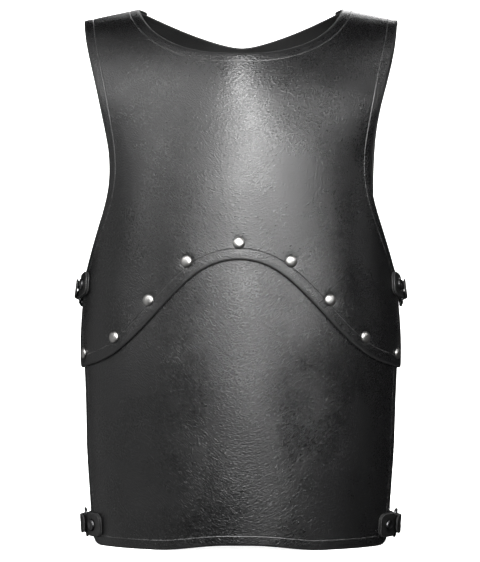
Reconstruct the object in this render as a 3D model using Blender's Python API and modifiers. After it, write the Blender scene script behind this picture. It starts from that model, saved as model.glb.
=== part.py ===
"""Leather body armour: a breast plate riveted over a belly plate, a back plate, and four side buckles.

Every plate is cut flat from its pattern and then bent over one torso form. A place on the form is given
by a, the way round from the centre line, and b, the way up the front from the hem, over the shoulder
and down the back. Offsets are measured outwards from the inner face of the breast plate. Metres, +Z up,
the armour faces -Y and stands on its hem.
"""

import math

import bmesh
import bpy
import numpy as np
from mathutils import Matrix, Vector

# torso form
HEIGHT = 0.587
HALF_WIDTH = 0.1745
FRONT_DEPTH = 0.122
BACK_DEPTH = 0.111
CREST = 0.006
CREST_SPREAD = 0.055
SHOULDER_SLOPE = 0.23
SHOULDER_ROUND = 0.060
SLOPE_FROM = 0.70
SLOPE_TO = 0.96

# leather
PLATE = 0.003
STRAP = 0.002
LAP_GAP = 0.0005
GAP = 0.0003
STRAP_LIFT = 0.0004

# breast plate, heights as drawn from the front
ARCH_TOP = 0.3025
ARCH_DROP = 0.1157
ARMHOLE_FOOT = 0.292
ARMHOLE_FRONT = 0.1373
ARMHOLE_BACK = 0.1462
NECK_HALF_WIDTH = 0.1085
NECK_FRONT = 0.1065
NECK_BACK = 0.0935
SHOULDER_TIP = 0.1690
LAP_BEHIND = 0.021
LAP_BEFORE = 0.015
SEAM_INSET = 0.011
PLATE_CORNER = 0.007
STRAP_CORNER = 0.006

# belly plate
BELLY_LAP = 0.028
HEM_RISE = 0.006
HEM_RISE_REACH = 0.090
HEM_CORNER = 0.022

# rivets
RIVET_COUNT = 9
RIVET_INSET = 0.0178
RIVET_SIDE_INSET = 0.0143
RIVET_END = 0.0085
RIVET_RADIUS = 0.0060
RIVET_DOME = 0.0032
SHANK_RADIUS = 0.0017
HOLE_CLEARANCE = 0.0004
WASHER_RADIUS = 0.0036
WASHER = 0.0010
WASHER_GAP = 0.0007
FLAT_RIVET_RADIUS = 0.0045
FLAT_RIVET_DOME = 0.0016
TAB_RIVET_RADIUS = 0.00675
TAB_RIVET_RISE = 0.0020
TAB_RIVET_DISH = 0.0012

# side fastenings, measured round the body from the front plate's side edge
UPPER_BELOW_ARMHOLE = 0.0155
LOWER_HEIGHT = 0.0215
UPPER_DIP = 12.0
TAB_LENGTH = 0.028
TAB_WIDTH = 0.025
TAB_CORNER = 0.007
TAB_RIVET_IN = 0.0155
STRAP_WIDTH = 0.020
HEEL_AT = 0.0125
FRAME_LENGTH = 0.021
FRAME_WIRE = 0.0015
FRAME_SPARE = 0.0025
FRAME_CORNER = 0.0035
UPPER_FAR_LIFT = 0.0026
LOWER_FAR_LIFT = 0.0004
PRONG_WIRE = 0.0011
PRONG_SPARE = 0.0006
PRONG_WINDOW_SPARE = 0.0019
PRONG_TIP = 0.0045
BILLET_INTO_BACK = 0.026
BILLET_RIVET_IN = 0.013
BILLET_TAIL = 0.001

# mesh fineness
CELL_UP = 0.047
CELL_ROUND = 0.032
CELL_SIDE = 0.021
RIDGE_CELL = 0.0115
EDGE_STEP = 0.0165
SPARE = 0.002
HOLE_SIDES = 8
RIVET_SIDES = 8

FAR_AT = HEEL_AT + FRAME_LENGTH
FRAME_OUTER = STRAP_WIDTH + 2 * (FRAME_SPARE + 2 * FRAME_WIRE)
TAB_RIVET_AT = TAB_RIVET_IN - TAB_LENGTH
SEAM_BEHIND = LAP_BEHIND - SEAM_INSET
HOLE_RADIUS = SHANK_RADIUS + HOLE_CLEARANCE
PRONG_WINDOW = 2 * (PRONG_WIRE + PRONG_WINDOW_SPARE)

# share of height, of half width, of front depth, of back depth, of crest
STATIONS = np.array(
    [
        (0.000, 0.942, 0.926, 0.937, 0.00),
        (0.100, 0.962, 0.956, 0.910, 0.00),
        (0.170, 0.978, 0.974, 0.895, 0.00),
        (0.255, 0.990, 0.990, 0.877, 0.00),
        (0.340, 0.993, 1.000, 0.865, 0.00),
        (0.430, 0.968, 1.000, 0.883, 0.00),
        (0.510, 0.937, 0.992, 0.928, 0.05),
        (0.580, 0.922, 0.975, 0.964, 0.15),
        (0.650, 0.918, 0.943, 0.991, 0.35),
        (0.710, 0.940, 0.893, 1.000, 0.60),
        (0.765, 1.003, 0.828, 0.970, 0.80),
        (0.820, 1.093, 0.750, 0.915, 1.00),
        (0.875, 1.166, 0.645, 0.810, 1.00),
        (0.925, 1.212, 0.510, 0.655, 0.80),
        (0.965, 1.238, 0.345, 0.450, 0.40),
        (0.990, 1.250, 0.175, 0.230, 0.10),
        (1.000, 1.255, 0.000, 0.000, 0.00),
    ]
)
# angle round the form in degrees, share of the arch's drop
ARCH = np.array([(-26, 0.36), (-15, 0.117), (0, 0), (15, 0.117), (26, 0.36), (37, 0.63), (50, 0.85), (66, 0.955), (80, 1)])
# share of height, angle round the form in degrees
FRONT_SIDE = np.array([(0, 75.2), (0.17, 75.4), (0.255, 75.4), (0.318, 77), (0.374, 79), (0.44, 82.5), (0.50, 86.5)])
BACK_SIDE = np.array([(0, 77.5), (0.17, 77), (0.34, 75), (0.50, 74)])
# share of the height from the armhole's foot to the shoulder, share of the width from its narrowest place
FRONT_ARMHOLE_LOW = np.array([(0.025, 0.888), (0.175, 0.416), (0.306, 0.059), (0.456, 0.0)])
FRONT_ARMHOLE_HIGH = np.array([(0.548, 0.123), (0.678, 0.369), (0.809, 0.644), (0.921, 0.871)])
BACK_ARMHOLE_LOW = np.array([(0.038, 0.513), (0.137, 0.176), (0.287, 0.0)])
BACK_ARMHOLE_HIGH = np.array([(0.436, 0.018), (0.568, 0.145), (0.667, 0.355), (0.752, 0.592), (0.902, 0.952)])
# share of the strap's width from the neck to the shoulder tip
SHOULDER_RIVETS = (0.29, 0.645)
NECK_FRONT_POWER = 2.15
NECK_BACK_POWER = 1.46

COLLECTION = "leather_armour"
SIDES = (("right", 1), ("left", -1))


def natural_spline(knots, values):
    """Function through the rows of values, smooth in slope and in bend."""
    knots = np.asarray(knots, float)
    rows = np.asarray(values, float).reshape(len(knots), -1)
    count = len(knots)
    step = np.diff(knots)
    left = np.zeros((count, count))
    right = np.zeros_like(rows)
    left[0, 0] = 1
    left[-1, -1] = 1
    for i in range(1, count - 1):
        left[i, i - 1 : i + 2] = step[i - 1], 2 * (step[i - 1] + step[i]), step[i]
        right[i] = 6 * ((rows[i + 1] - rows[i]) / step[i] - (rows[i] - rows[i - 1]) / step[i - 1])
    bend = np.linalg.solve(left, right)

    def at(x):
        x = np.asarray(x, float)
        i = np.clip(np.searchsorted(knots, x) - 1, 0, count - 2)
        before = (x - knots[i])[..., None]
        after = (knots[i + 1] - x)[..., None]
        wide = step[i][..., None]
        curved = (bend[i] * after**3 + bend[i + 1] * before**3) / (6 * wide)
        low = (rows[i] / wide - bend[i] * wide / 6) * after
        high = (rows[i + 1] / wide - bend[i + 1] * wide / 6) * before
        return curved + low + high

    return at


def polyline_length(points):
    return np.concatenate([[0], np.cumsum(np.linalg.norm(np.diff(points, axis=0), axis=1))])


def make_profile():
    """Height, depth, half width and crest at every length along the centre line, and where the ridge is."""
    sizes = STATIONS * (HEIGHT, HALF_WIDTH, FRONT_DEPTH, BACK_DEPTH, CREST)
    up = np.column_stack([sizes[:, 0], -sizes[:, 2], sizes[:, 1], sizes[:, 4]])
    down = np.column_stack([sizes[:, 0], sizes[:, 3], sizes[:, 1], 0 * sizes[:, 4]])[::-1][1:]
    rows = np.vstack([up, down])
    knots = polyline_length(rows[:, :2])
    steps = np.linspace(0, knots[-1], 1201)
    dense = natural_spline(knots, rows)(steps)
    length = polyline_length(dense[:, :2])
    return length, dense, np.interp(knots[len(sizes) - 1], steps, length)


LENGTH, PROFILE, RIDGE = make_profile()
TOTAL = LENGTH[-1]
ANGLES = np.radians(np.linspace(0, 160, 161))


def station(b):
    return [np.interp(b, LENGTH, PROFILE[:, k]) for k in range(4)]


def far_depth(b, height):
    """Depth of the other half of the form at the same height."""
    front = LENGTH <= RIDGE
    back = np.interp(height, PROFILE[~front][::-1, 0], PROFILE[~front][::-1, 1])
    return np.where(b <= RIDGE, back, np.interp(height, PROFILE[front][:, 0], -PROFILE[front][:, 1]))


def section(b, angle):
    """Point of the form at length b and an angle round it."""
    height, depth, half_width, crest = station(b)
    x = half_width * np.sin(angle)
    near = depth * np.cos(angle) - crest * np.exp(-((x / CREST_SPREAD) ** 2))
    far = np.where(b <= RIDGE, -1, 1) * far_depth(b, height) * np.cos(angle)
    y = np.where(angle <= np.pi / 2, near, far)
    share = np.clip((height / HEIGHT - SLOPE_FROM) / (SLOPE_TO - SLOPE_FROM), 0, 1)
    share = share * share * (3 - 2 * share)
    return x, y, height - SHOULDER_SLOPE * share * (np.hypot(x, SHOULDER_ROUND) - SHOULDER_ROUND)


def arcs(b):
    """Length round the form at every one of ANGLES, for each b."""
    x, y, _ = section(b[:, None], ANGLES[None, :])
    steps = np.hypot(np.diff(x, axis=1), np.diff(y, axis=1))
    return np.concatenate([np.zeros((len(b), 1)), np.cumsum(steps, axis=1)], axis=1)


def form_point(a, b):
    a, b = np.broadcast_arrays(np.atleast_1d(a).astype(float), np.atleast_1d(b).astype(float))
    arc = arcs(b)
    angle = np.array([np.interp(abs(way), row, ANGLES) for way, row in zip(a, arc)])
    x, y, z = section(b, angle)
    return np.column_stack([np.where(a < 0, -x, x), y, z])


def pattern_point(height, angle=None, x=None, back=False):
    """Flat pattern place (a, b) of a height and either an angle or a half width."""
    low, high = (RIDGE, TOTAL) if back else (0.0, RIDGE)
    for _ in range(50):
        b = (low + high) / 2
        turn = angle if x is None else math.asin(min(1.0, x / float(station(b)[2])))
        if (float(section(np.array(b), turn)[2]) < height) != back:
            low = b
        else:
            high = b
    return np.array([np.interp(turn, ANGLES, arcs(np.array([b]))[0]), b])


def front_side_angle(height):
    return math.radians(float(natural_spline(FRONT_SIDE[:, 0] * HEIGHT, FRONT_SIDE[:, 1])(height)[0]))


def back_side_angle(height):
    return math.radians(float(natural_spline(BACK_SIDE[:, 0] * HEIGHT, BACK_SIDE[:, 1])(height)[0]))


def front_side(height):
    return pattern_point(height, angle=front_side_angle(height))


def back_side(height):
    return pattern_point(height, angle=back_side_angle(height), back=True)


def smooth_line(points, count=160):
    points = np.array(points)
    knots = polyline_length(points)
    return natural_spline(knots, points)(np.linspace(0, knots[-1], count))


def resample(points, step):
    length = polyline_length(points)
    count = max(1, round(length[-1] / step))
    at = np.linspace(0, length[-1], count + 1)
    return np.column_stack([np.interp(at, length, points[:, k]) for k in range(2)])


def trimmed(points, start, end):
    """The line without its first and last stretches."""
    length = polyline_length(points)
    at = np.concatenate([[start], length[(length > start + 1e-5) & (length < length[-1] - end - 1e-5)], [length[-1] - end]])
    return np.column_stack([np.interp(at, length, points[:, k]) for k in range(2)])


def joined(lines, corners, step, turn_points=3):
    """One line out of several that meet end to end, each meeting rounded by its corner size."""
    out = []
    for i, line in enumerate(lines):
        start = corners[i - 1] if i > 0 else 0.0
        end = corners[i] if i < len(lines) - 1 else 0.0
        kept = resample(trimmed(line, start, end), step)
        if out and start > 0:
            before = out[-1]
            corner = line[0]
            for t in np.linspace(0, 1, turn_points + 2)[1:-1]:
                out.append((1 - t) ** 2 * before + 2 * t * (1 - t) * corner + t * t * kept[0])
        out.extend(kept if not out or start > 0 else kept[1:])
    return np.array(out)


def mirrored_outline(half):
    """Closed outline from a half that starts and ends on the centre line."""
    half = half.copy()
    half[0, 0] = 0.0
    half[-1, 0] = 0.0
    return np.vstack([half, half[-2:0:-1] * (-1, 1)])


def arch_line(rise=0.0, side_rise=None):
    """Lower edge of the breast plate from the centre to the side, moved up across the leather by a rise."""
    drop = natural_spline(ARCH[:, 0], ARCH[:, 1])
    points = []
    for angle in np.linspace(0, 76.5, 52):
        height = ARCH_TOP - ARCH_DROP * float(drop(angle)[0])
        points.append(pattern_point(height, angle=math.radians(angle)))
    line = np.array(points)
    side = front_side(line[-1, 1])
    along = np.gradient(line, axis=0)
    along /= np.linalg.norm(along, axis=1)[:, None]
    share = np.clip(line[:, 0] / line[-1, 0] / 0.6, 0, 1)
    rises = rise + share * ((rise if side_rise is None else side_rise) - rise)
    moved = line + rises[:, None] * np.column_stack([-along[:, 1], along[:, 0]])
    moved = moved[moved[:, 0] < side[0] - 0.002]
    moved[0, 0] = 0.0
    return moved


def neck_line(front):
    turn = np.linspace(0, np.pi / 2, 60)
    if front:
        power = 2 / NECK_FRONT_POWER
        return np.column_stack([NECK_HALF_WIDTH * np.sin(turn) ** power, RIDGE - NECK_FRONT * np.cos(turn) ** power])
    power = 2 / NECK_BACK_POWER
    return np.column_stack([NECK_HALF_WIDTH * np.sin(turn) ** power, RIDGE + NECK_BACK * np.cos(turn) ** power])


def armhole_points(low, high, narrowest, back):
    """Places up one armhole edge, from its foot towards the shoulder."""
    foot = (back_side if back else front_side)(ARMHOLE_FOOT)
    foot_x = float(form_point(foot[0], foot[1])[0, 0])
    rise = float(form_point(SHOULDER_TIP, RIDGE)[0, 2]) - ARMHOLE_FOOT
    places = [(t, narrowest + share * (foot_x - narrowest)) for t, share in low]
    places += [(t, narrowest + share * (SHOULDER_TIP - narrowest)) for t, share in high]
    return [pattern_point(ARMHOLE_FOOT + t * rise, x=x, back=back) for t, x in places]


def armhole_line():
    """Whole armhole edge from the front plate's side over the shoulder to the back plate's side."""
    lead = 0.0015
    front_lead = pattern_point(ARMHOLE_FOOT + lead, angle=front_side_angle(ARMHOLE_FOOT) - math.radians(4))
    back_lead = pattern_point(ARMHOLE_FOOT + lead, angle=back_side_angle(ARMHOLE_FOOT) - math.radians(3), back=True)
    points = [front_side(ARMHOLE_FOOT), front_lead]
    points += armhole_points(FRONT_ARMHOLE_LOW, FRONT_ARMHOLE_HIGH, ARMHOLE_FRONT, False)
    points.append(np.array([SHOULDER_TIP, RIDGE]))
    points += armhole_points(BACK_ARMHOLE_LOW, BACK_ARMHOLE_HIGH, ARMHOLE_BACK, True)[::-1]
    points += [back_lead, back_side(ARMHOLE_FOOT)]
    return smooth_line(points, 300)


def side_line(side, low, high, count=24):
    return np.array([side(height) for height in np.linspace(low, high, count)])


def breast_outline():
    arch = arch_line()
    low = float(form_point(*arch[-1:].T)[0, 2])
    corner = front_side(low)
    arch = np.vstack([arch, corner])
    arm = armhole_line()
    stop = RIDGE + LAP_BEHIND
    arm = arm[arm[:, 1] < stop]
    arm_end = np.array([arm[-1, 0], stop])
    neck_back = neck_line(False)
    neck_end = np.array([np.interp(stop, neck_back[:, 1][::-1], neck_back[:, 0][::-1]), stop])
    over = neck_back[neck_back[:, 1] < stop][:-1]
    neck = np.vstack([neck_end, over, neck_line(True)[::-1]])
    lines = [arch, side_line(front_side, low, ARMHOLE_FOOT), np.vstack([arm, arm_end]), np.array([arm_end, neck_end]), neck]
    return mirrored_outline(joined(lines, [PLATE_CORNER * 0.6, PLATE_CORNER, STRAP_CORNER, STRAP_CORNER], EDGE_STEP))


def belly_outline():
    top = arch_line(BELLY_LAP)
    high = float(form_point(*top[-1:].T)[0, 2])
    inner = pattern_point(high, angle=front_side_angle(high) - math.radians(1))
    top = np.vstack([top[top[:, 0] < inner[0] - 0.002], inner])
    side = side_line(lambda h: pattern_point(h, angle=front_side_angle(h) - math.radians(1) * min(1, h / 0.2)), 0, high)
    side[0, 1] = 0.0
    hem = [(0.0, HEM_RISE)]
    for way in np.linspace(0, 1, 9)[1:]:
        share = np.clip((way - 0.15) / 0.85, 0, 1)
        hem.append((way * HEM_RISE_REACH, HEM_RISE * (1 - share * share * (3 - 2 * share))))
    hem = np.vstack([hem, side[0]])
    hem[-2, 1] = 0.0
    bottom = joined([hem[:9], hem[8:]], [0.0], EDGE_STEP)
    half = joined([bottom, side, top[::-1]], [HEM_CORNER, PLATE_CORNER], EDGE_STEP, 5)
    half[np.abs(half[:, 1]) < 1e-4, 1] = 0.0
    return mirrored_outline(half)


def back_outline():
    start = RIDGE - LAP_BEFORE
    neck_front = neck_line(True)
    neck_end = np.array([np.interp(start, neck_front[:, 1], neck_front[:, 0]), start])
    over = neck_front[neck_front[:, 1] > start]
    neck = np.vstack([neck_line(False), over[::-1][1:], neck_end])
    arm = armhole_line()
    arm = arm[arm[:, 1] > start]
    arm_end = np.array([arm[0, 0], start])
    side = side_line(back_side, ARMHOLE_FOOT, 0)
    side[-1, 1] = TOTAL
    hem = np.array([side[-1], (0.0, TOTAL)])
    lines = [neck, np.array([neck_end, arm_end]), np.vstack([arm_end, arm]), side, hem]
    half = joined(lines, [STRAP_CORNER, STRAP_CORNER, PLATE_CORNER, HEM_CORNER], EDGE_STEP, 4)
    half[np.abs(half[:, 1] - TOTAL) < 1e-4, 1] = TOTAL
    return mirrored_outline(half)


def arch_rivets():
    line = arch_line(RIVET_INSET, RIVET_SIDE_INSET)
    line = np.vstack([line[1:][::-1] * (-1, 1), line])
    length = polyline_length(line)
    at = np.linspace(RIVET_END, length[-1] - RIVET_END, RIVET_COUNT)
    spots = np.column_stack([np.interp(at, length, line[:, k]) for k in range(2)])
    spots[np.abs(spots[:, 0]) < 1e-6, 0] = 0.0
    return spots


def fastening(height):
    """Where a fastening sits: the front edge, the back edge and the open girth between them, at one height."""
    front = front_side(height)
    back = back_side(height)
    half_front = np.interp(np.pi / 2, ANGLES, arcs(np.array([front[1]]))[0])
    half_back = np.interp(np.pi / 2, ANGLES, arcs(np.array([back[1]]))[0])
    return front, back, half_front + half_back - front[0] - back[0]


FASTENINGS = {"upper": fastening(ARMHOLE_FOOT - UPPER_BELOW_ARMHOLE), "lower": fastening(LOWER_HEIGHT)}
DIP = {"upper": math.radians(UPPER_DIP), "lower": 0.0}
FAR_LIFT = {"upper": UPPER_FAR_LIFT, "lower": LOWER_FAR_LIFT}
FRONT_OUTER = {"upper": PLATE, "lower": -LAP_GAP}
FRONT_INNER = {"upper": 0.0, "lower": -LAP_GAP - PLATE}
ARCH_RIVETS = arch_rivets()


def strap_anchor(level, back=False):
    """Place the straps turn about, the tab rivet, on the front pattern or carried on from the back pattern."""
    front, rear, gap = FASTENINGS[level]
    return rear + (gap - TAB_RIVET_AT, 0) if back else front + (TAB_RIVET_AT, 0)


def strap_spot(level, a, back=False):
    """Pattern place of the strap's middle line at its own length a."""
    anchor = strap_anchor(level, back)
    way = np.asarray(a, float) - anchor[0]
    return anchor[0] + way * math.cos(DIP[level]), anchor[1] - way * math.sin(DIP[level])


def tab_rivet_spot(level):
    return strap_anchor(level)


def billet_rivet_spot(level):
    return np.array(strap_spot(level, FASTENINGS[level][1][0] - BILLET_RIVET_IN, True))


def filled_lines(fixed, limits):
    """Sorted lines through the fixed places, with more between them so that none is wider than its limit."""
    fixed = sorted(fixed)
    kept = [fixed[0]]
    for value in fixed[1:]:
        if value - kept[-1] > 0.004:
            kept.append(value)
    lines = [kept[0]]
    for before, after in zip(kept[:-1], kept[1:]):
        count = math.ceil((after - before) / limits((before + after) / 2) - 0.05)
        lines.extend(np.linspace(before, after, max(count, 1) + 1)[1:])
    return np.array(lines)


def round_lines():
    spots = [0.0, 0.330]
    spots += [a for a, _ in ARCH_RIVETS if a > 0]
    spots += [tab_rivet_spot(level)[0] for level in FASTENINGS]
    spots += [billet_rivet_spot(level)[0] for level in FASTENINGS]
    half = filled_lines(spots, lambda a: CELL_SIDE if a > 0.150 else CELL_ROUND)
    return np.concatenate([-half[:0:-1], half])


def up_lines():
    seam = RIDGE + SEAM_BEHIND
    spots = [0.0, RIDGE - 0.062, seam - RIDGE_CELL / 2, seam + RIDGE_CELL / 2, RIDGE + 0.062, TOTAL]
    return filled_lines(spots, lambda b: RIDGE_CELL if abs(b - RIDGE) < 0.062 else CELL_UP)


A_LINES = round_lines()
B_LINES = up_lines()


def form_grid():
    """Points and outward normals of the form where the lines cross."""
    a, b = np.meshgrid(A_LINES, B_LINES)
    flat_a, flat_b = a.ravel(), b.ravel()
    step = 0.002
    inside = np.clip(flat_b, step, TOTAL - step)
    round_way = form_point(flat_a + step, inside) - form_point(flat_a - step, inside)
    up_way = form_point(flat_a, inside + step) - form_point(flat_a, inside - step)
    normal = np.cross(round_way, up_way)
    normal /= np.linalg.norm(normal, axis=1)[:, None]
    return form_point(flat_a, flat_b).reshape(*a.shape, 3), normal.reshape(*a.shape, 3)


GRID_POINTS, GRID_NORMALS = form_grid()


def between(table, a, b):
    i = np.clip(np.searchsorted(A_LINES, a) - 1, 0, len(A_LINES) - 2)
    j = np.clip(np.searchsorted(B_LINES, b) - 1, 0, len(B_LINES) - 2)
    s = ((a - A_LINES[i]) / (A_LINES[i + 1] - A_LINES[i]))[:, None]
    t = ((b - B_LINES[j]) / (B_LINES[j + 1] - B_LINES[j]))[:, None]
    low = table[j, i] * (1 - s) + table[j, i + 1] * s
    high = table[j + 1, i] * (1 - s) + table[j + 1, i + 1] * s
    return low * (1 - t) + high * t


def bent(places):
    """Points in space of pattern places (a, b, offset); the hem stays level."""
    places = np.asarray(places, float).reshape(-1, 3)
    a, b, offset = places.T
    points = between(GRID_POINTS, a, b) + between(GRID_NORMALS, a, b) * offset[:, None]
    points[(np.abs(b) < 1e-6) | (np.abs(b - TOTAL) < 1e-6), 2] = 0.0
    return points


def strap_bent(places, level, back=False):
    """As bent, for a strap that lies straight across and runs down from its tab rivet by the dip."""
    a, b, offset = np.asarray(places, float).reshape(-1, 3).T
    way_a, way_b = strap_spot(level, a, back)
    out = between(GRID_NORMALS, way_a, way_b)
    out /= np.linalg.norm(out, axis=1)[:, None]
    up = (0, 0, 1) - out * out[:, 2:]
    up /= np.linalg.norm(up, axis=1)[:, None]
    across = up * math.cos(DIP[level]) + np.cross(up, out) * math.sin(DIP[level])
    reach = (b - strap_anchor(level, back)[1]) * (-1 if back else 1)
    return between(GRID_POINTS, way_a, way_b) + out * offset[:, None] + across * reach[:, None]


def clear_scene():
    for item in list(bpy.data.objects):
        bpy.data.objects.remove(item, do_unlink=True)


def mesh_object(name, mesh):
    item = bpy.data.objects.new(name, mesh)
    bpy.context.scene.collection.objects.link(item)
    return item


def drop(*items):
    for item in items:
        data = item.data
        bpy.data.objects.remove(item, do_unlink=True)
        if isinstance(data, bpy.types.Mesh):
            bpy.data.meshes.remove(data)
        else:
            bpy.data.curves.remove(data)


def flat_prism(loops, low, high):
    """Solid cut square to the pattern along closed outlines; outlines inside the first are holes."""
    curve = bpy.data.curves.new("outline", "CURVE")
    curve.dimensions = "2D"
    curve.fill_mode = "BOTH"
    curve.extrude = (high - low) / 2
    for loop in loops:
        spline = curve.splines.new("POLY")
        spline.points.add(len(loop) - 1)
        for point, (a, b) in zip(spline.points, loop):
            point.co = (a, b, 0.0, 1.0)
        spline.use_cyclic_u = True
    holder = mesh_object("outline", curve)
    mesh = bpy.data.meshes.new_from_object(holder.evaluated_get(bpy.context.evaluated_depsgraph_get()))
    drop(holder)
    welded = bmesh.new()
    welded.from_mesh(mesh)
    bmesh.ops.remove_doubles(welded, verts=welded.verts, dist=1e-6)
    bmesh.ops.translate(welded, verts=welded.verts, vec=(0, 0, (low + high) / 2))
    bmesh.ops.recalc_face_normals(welded, faces=welded.faces)
    welded.to_mesh(mesh)
    welded.free()
    return mesh_object("prism", mesh)


def grid_slab(a_lines, b_lines, low, high):
    """Block between the outermost lines, its faces divided along the others."""
    size = (a_lines[-1] - a_lines[0], b_lines[-1] - b_lines[0], high - low)
    middle = ((a_lines[-1] + a_lines[0]) / 2, (b_lines[-1] + b_lines[0]) / 2, (high + low) / 2)
    slab = bmesh.new()
    bmesh.ops.create_cube(slab, size=1.0, matrix=Matrix.Translation(middle) @ Matrix.Diagonal((*size, 1.0)))
    for lines, across in ((a_lines[1:-1], (1, 0, 0)), (b_lines[1:-1], (0, 1, 0))):
        for line in lines:
            everything = [*slab.verts, *slab.edges, *slab.faces]
            bmesh.ops.bisect_plane(slab, geom=everything, dist=1e-7, plane_co=Vector(across) * line, plane_no=across)
    mesh = bpy.data.meshes.new("slab")
    slab.to_mesh(mesh)
    slab.free()
    return mesh_object("slab", mesh)


def boolean(target, tool, operation):
    """The Boolean of two solids as a new mesh object; both solids are removed."""
    cut = target.modifiers.new("cut", "BOOLEAN")
    cut.operation = operation
    cut.solver = "EXACT"
    cut.object = tool
    mesh = bpy.data.meshes.new_from_object(target.evaluated_get(bpy.context.evaluated_depsgraph_get()))
    drop(target, tool)
    return mesh_object("cut", mesh)


def hole_loop(centre, radius=HOLE_RADIUS, sides=HOLE_SIDES):
    turn = (np.arange(sides) + 0.5) * 2 * np.pi / sides
    return np.column_stack([centre[0] + radius * np.cos(turn), centre[1] + radius * np.sin(turn)])


def plate_hole(centre, radius=HOLE_RADIUS):
    """Outline in the pattern that is round once the plate is bent."""
    a, b = centre
    step = 0.002
    right, left, above, below = bent([(a + step, b, -PLATE), (a - step, b, -PLATE), (a, b + step, -PLATE), (a, b - step, -PLATE)])
    stretch = np.array([np.linalg.norm(right - left), np.linalg.norm(above - below)]) / (2 * step)
    return (hole_loop(centre, radius) - centre) / stretch + centre


def bend_mesh(item, bend, *where):
    mesh = item.data
    flat = np.empty(len(mesh.vertices) * 3)
    mesh.vertices.foreach_get("co", flat)
    mesh.vertices.foreach_set("co", bend(flat, *where).ravel())
    mesh.update()


def settle(item, name, material, smooth=False):
    """Weld and triangulate an object, name it and put it with the finished parts."""
    work = bmesh.new()
    work.from_mesh(item.data)
    bmesh.ops.remove_doubles(work, verts=work.verts, dist=2e-5)
    bmesh.ops.dissolve_degenerate(work, dist=1e-5, edges=work.edges)
    bmesh.ops.triangulate(work, faces=work.faces)
    bmesh.ops.recalc_face_normals(work, faces=work.faces)
    for face in work.faces:
        face.smooth = smooth
    work.to_mesh(item.data)
    work.free()
    item.name = name
    item.data.name = name
    item.data.materials.clear()
    item.data.materials.append(material)
    for group in item.users_collection:
        group.objects.unlink(item)
    PARTS.objects.link(item)
    item.parent = ROOT
    return item


def material(name, colour, rough, metal=0.0):
    made = bpy.data.materials.new(name)
    made.use_nodes = True
    shader = made.node_tree.nodes["Principled BSDF"]
    shader.inputs["Base Color"].default_value = (*colour, 1.0)
    shader.inputs["Roughness"].default_value = rough
    shader.inputs["Metallic"].default_value = metal
    made.diffuse_color = (*colour, 1.0)
    return made


def make_plate(name, outline, holes, low, high, shade):
    """A plate cut flat from its pattern, divided along the form's lines and bent over the form."""
    margin = 0.010
    lowest, highest = outline.min(0), outline.max(0)
    a_lines = [a for a in A_LINES if lowest[0] - 1e-4 < a < highest[0] + 1e-4]
    a_lines = [lowest[0] - margin, *a_lines, highest[0] + margin]
    b_lines = [b for b in B_LINES if lowest[1] + 1e-3 < b < highest[1] - 1e-3]
    b_lines = [lowest[1] - margin, *b_lines, highest[1] + margin]
    slab = grid_slab(a_lines, b_lines, low, high)
    prism = flat_prism([outline, *holes], low - 0.005, high + 0.005)
    plate = boolean(slab, prism, "INTERSECT")
    bend_mesh(plate, bent)
    return settle(plate, name, shade)


def turned(profile, sides):
    """Solid turned about +Z from (radius, height) places that run down its outer side."""
    work = bmesh.new()
    places = [work.verts.new((radius, 0, height)) for radius, height in profile]
    for upper, lower in zip(places[:-1], places[1:]):
        work.edges.new((upper, lower))
    mesh = bpy.data.meshes.new("profile")
    work.to_mesh(mesh)
    work.free()
    item = mesh_object("profile", mesh)
    turn = item.modifiers.new("turn", "SCREW")
    turn.steps = sides
    turn.render_steps = sides
    turn.use_merge_vertices = True
    turn.merge_threshold = 1e-5
    solid = bpy.data.meshes.new_from_object(item.evaluated_get(bpy.context.evaluated_depsgraph_get()))
    drop(item)
    return mesh_object("turned", solid)


def local_frame(a, b, offset):
    """Matrix whose X runs round the form, Y up it and Z outwards, at a place of the pattern."""
    step = 0.0015
    origin, right, left, above, below, outer = bent(
        [(a, b, offset), (a + step, b, offset), (a - step, b, offset), (a, b + step, offset), (a, b - step, offset), (a, b, offset + step)]
    )
    out = Vector(outer - origin).normalized()
    up = Vector(above - below)
    up = (up - out * up.dot(out)).normalized()
    return Matrix.Translation(Vector(origin)) @ Matrix((up.cross(out), up, out)).transposed().to_4x4()


def place(item, matrix):
    item.data.transform(matrix)
    item.data.update()


def rivet(name, spot, outer, inner, profile_top, shade, sides=RIVET_SIDES):
    """One rivet through the leather between two offsets, with its head outside and a washer inside."""
    head = outer + GAP
    back = inner - WASHER_GAP
    profile = [(radius, head + height) for radius, height in profile_top]
    profile += [(SHANK_RADIUS, head), (SHANK_RADIUS, back), (WASHER_RADIUS, back), (WASHER_RADIUS, back - WASHER), (0, back - WASHER)]
    item = turned(profile, sides)
    place(item, local_frame(spot[0], spot[1], 0.0))
    return settle(item, name, shade, smooth=True)


def dome(radius, rise):
    return [(0, rise), (radius * 0.55, rise * 0.82), (radius * 0.9, rise * 0.36), (radius, 0)]


def low_dome(radius, rise):
    return [(0, rise), (radius * 0.7, rise * 0.7), (radius, 0)]


def dish(radius, rise, depth):
    return [(0, rise - depth), (radius * 0.42, rise - depth), (radius * 0.62, rise), (radius * 0.86, rise * 0.72), (radius, 0)]


def girth_stations(start, end, step=0.018):
    """Places from start to end round the form, on every line between and never further apart than step."""
    inner = [a for a in A_LINES if min(start, end) + 0.001 < a < max(start, end) - 0.001]
    stops = sorted([start, end, *inner])
    out = [stops[0]]
    for before, after in zip(stops[:-1], stops[1:]):
        out.extend(np.linspace(before, after, max(1, round((after - before) / step)) + 1)[1:])
    return out if start < end else out[::-1]


def strip(profile, b, half_width):
    """Solid with a closed (a, offset) outline across a strap, running half a width each way from b."""
    prism = flat_prism([profile], -half_width, half_width)
    turn = Matrix(((1, 0, 0, 0), (0, 0, -1, b), (0, 1, 0, 0), (0, 0, 0, 1)))
    place(prism, turn)
    return prism


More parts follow.
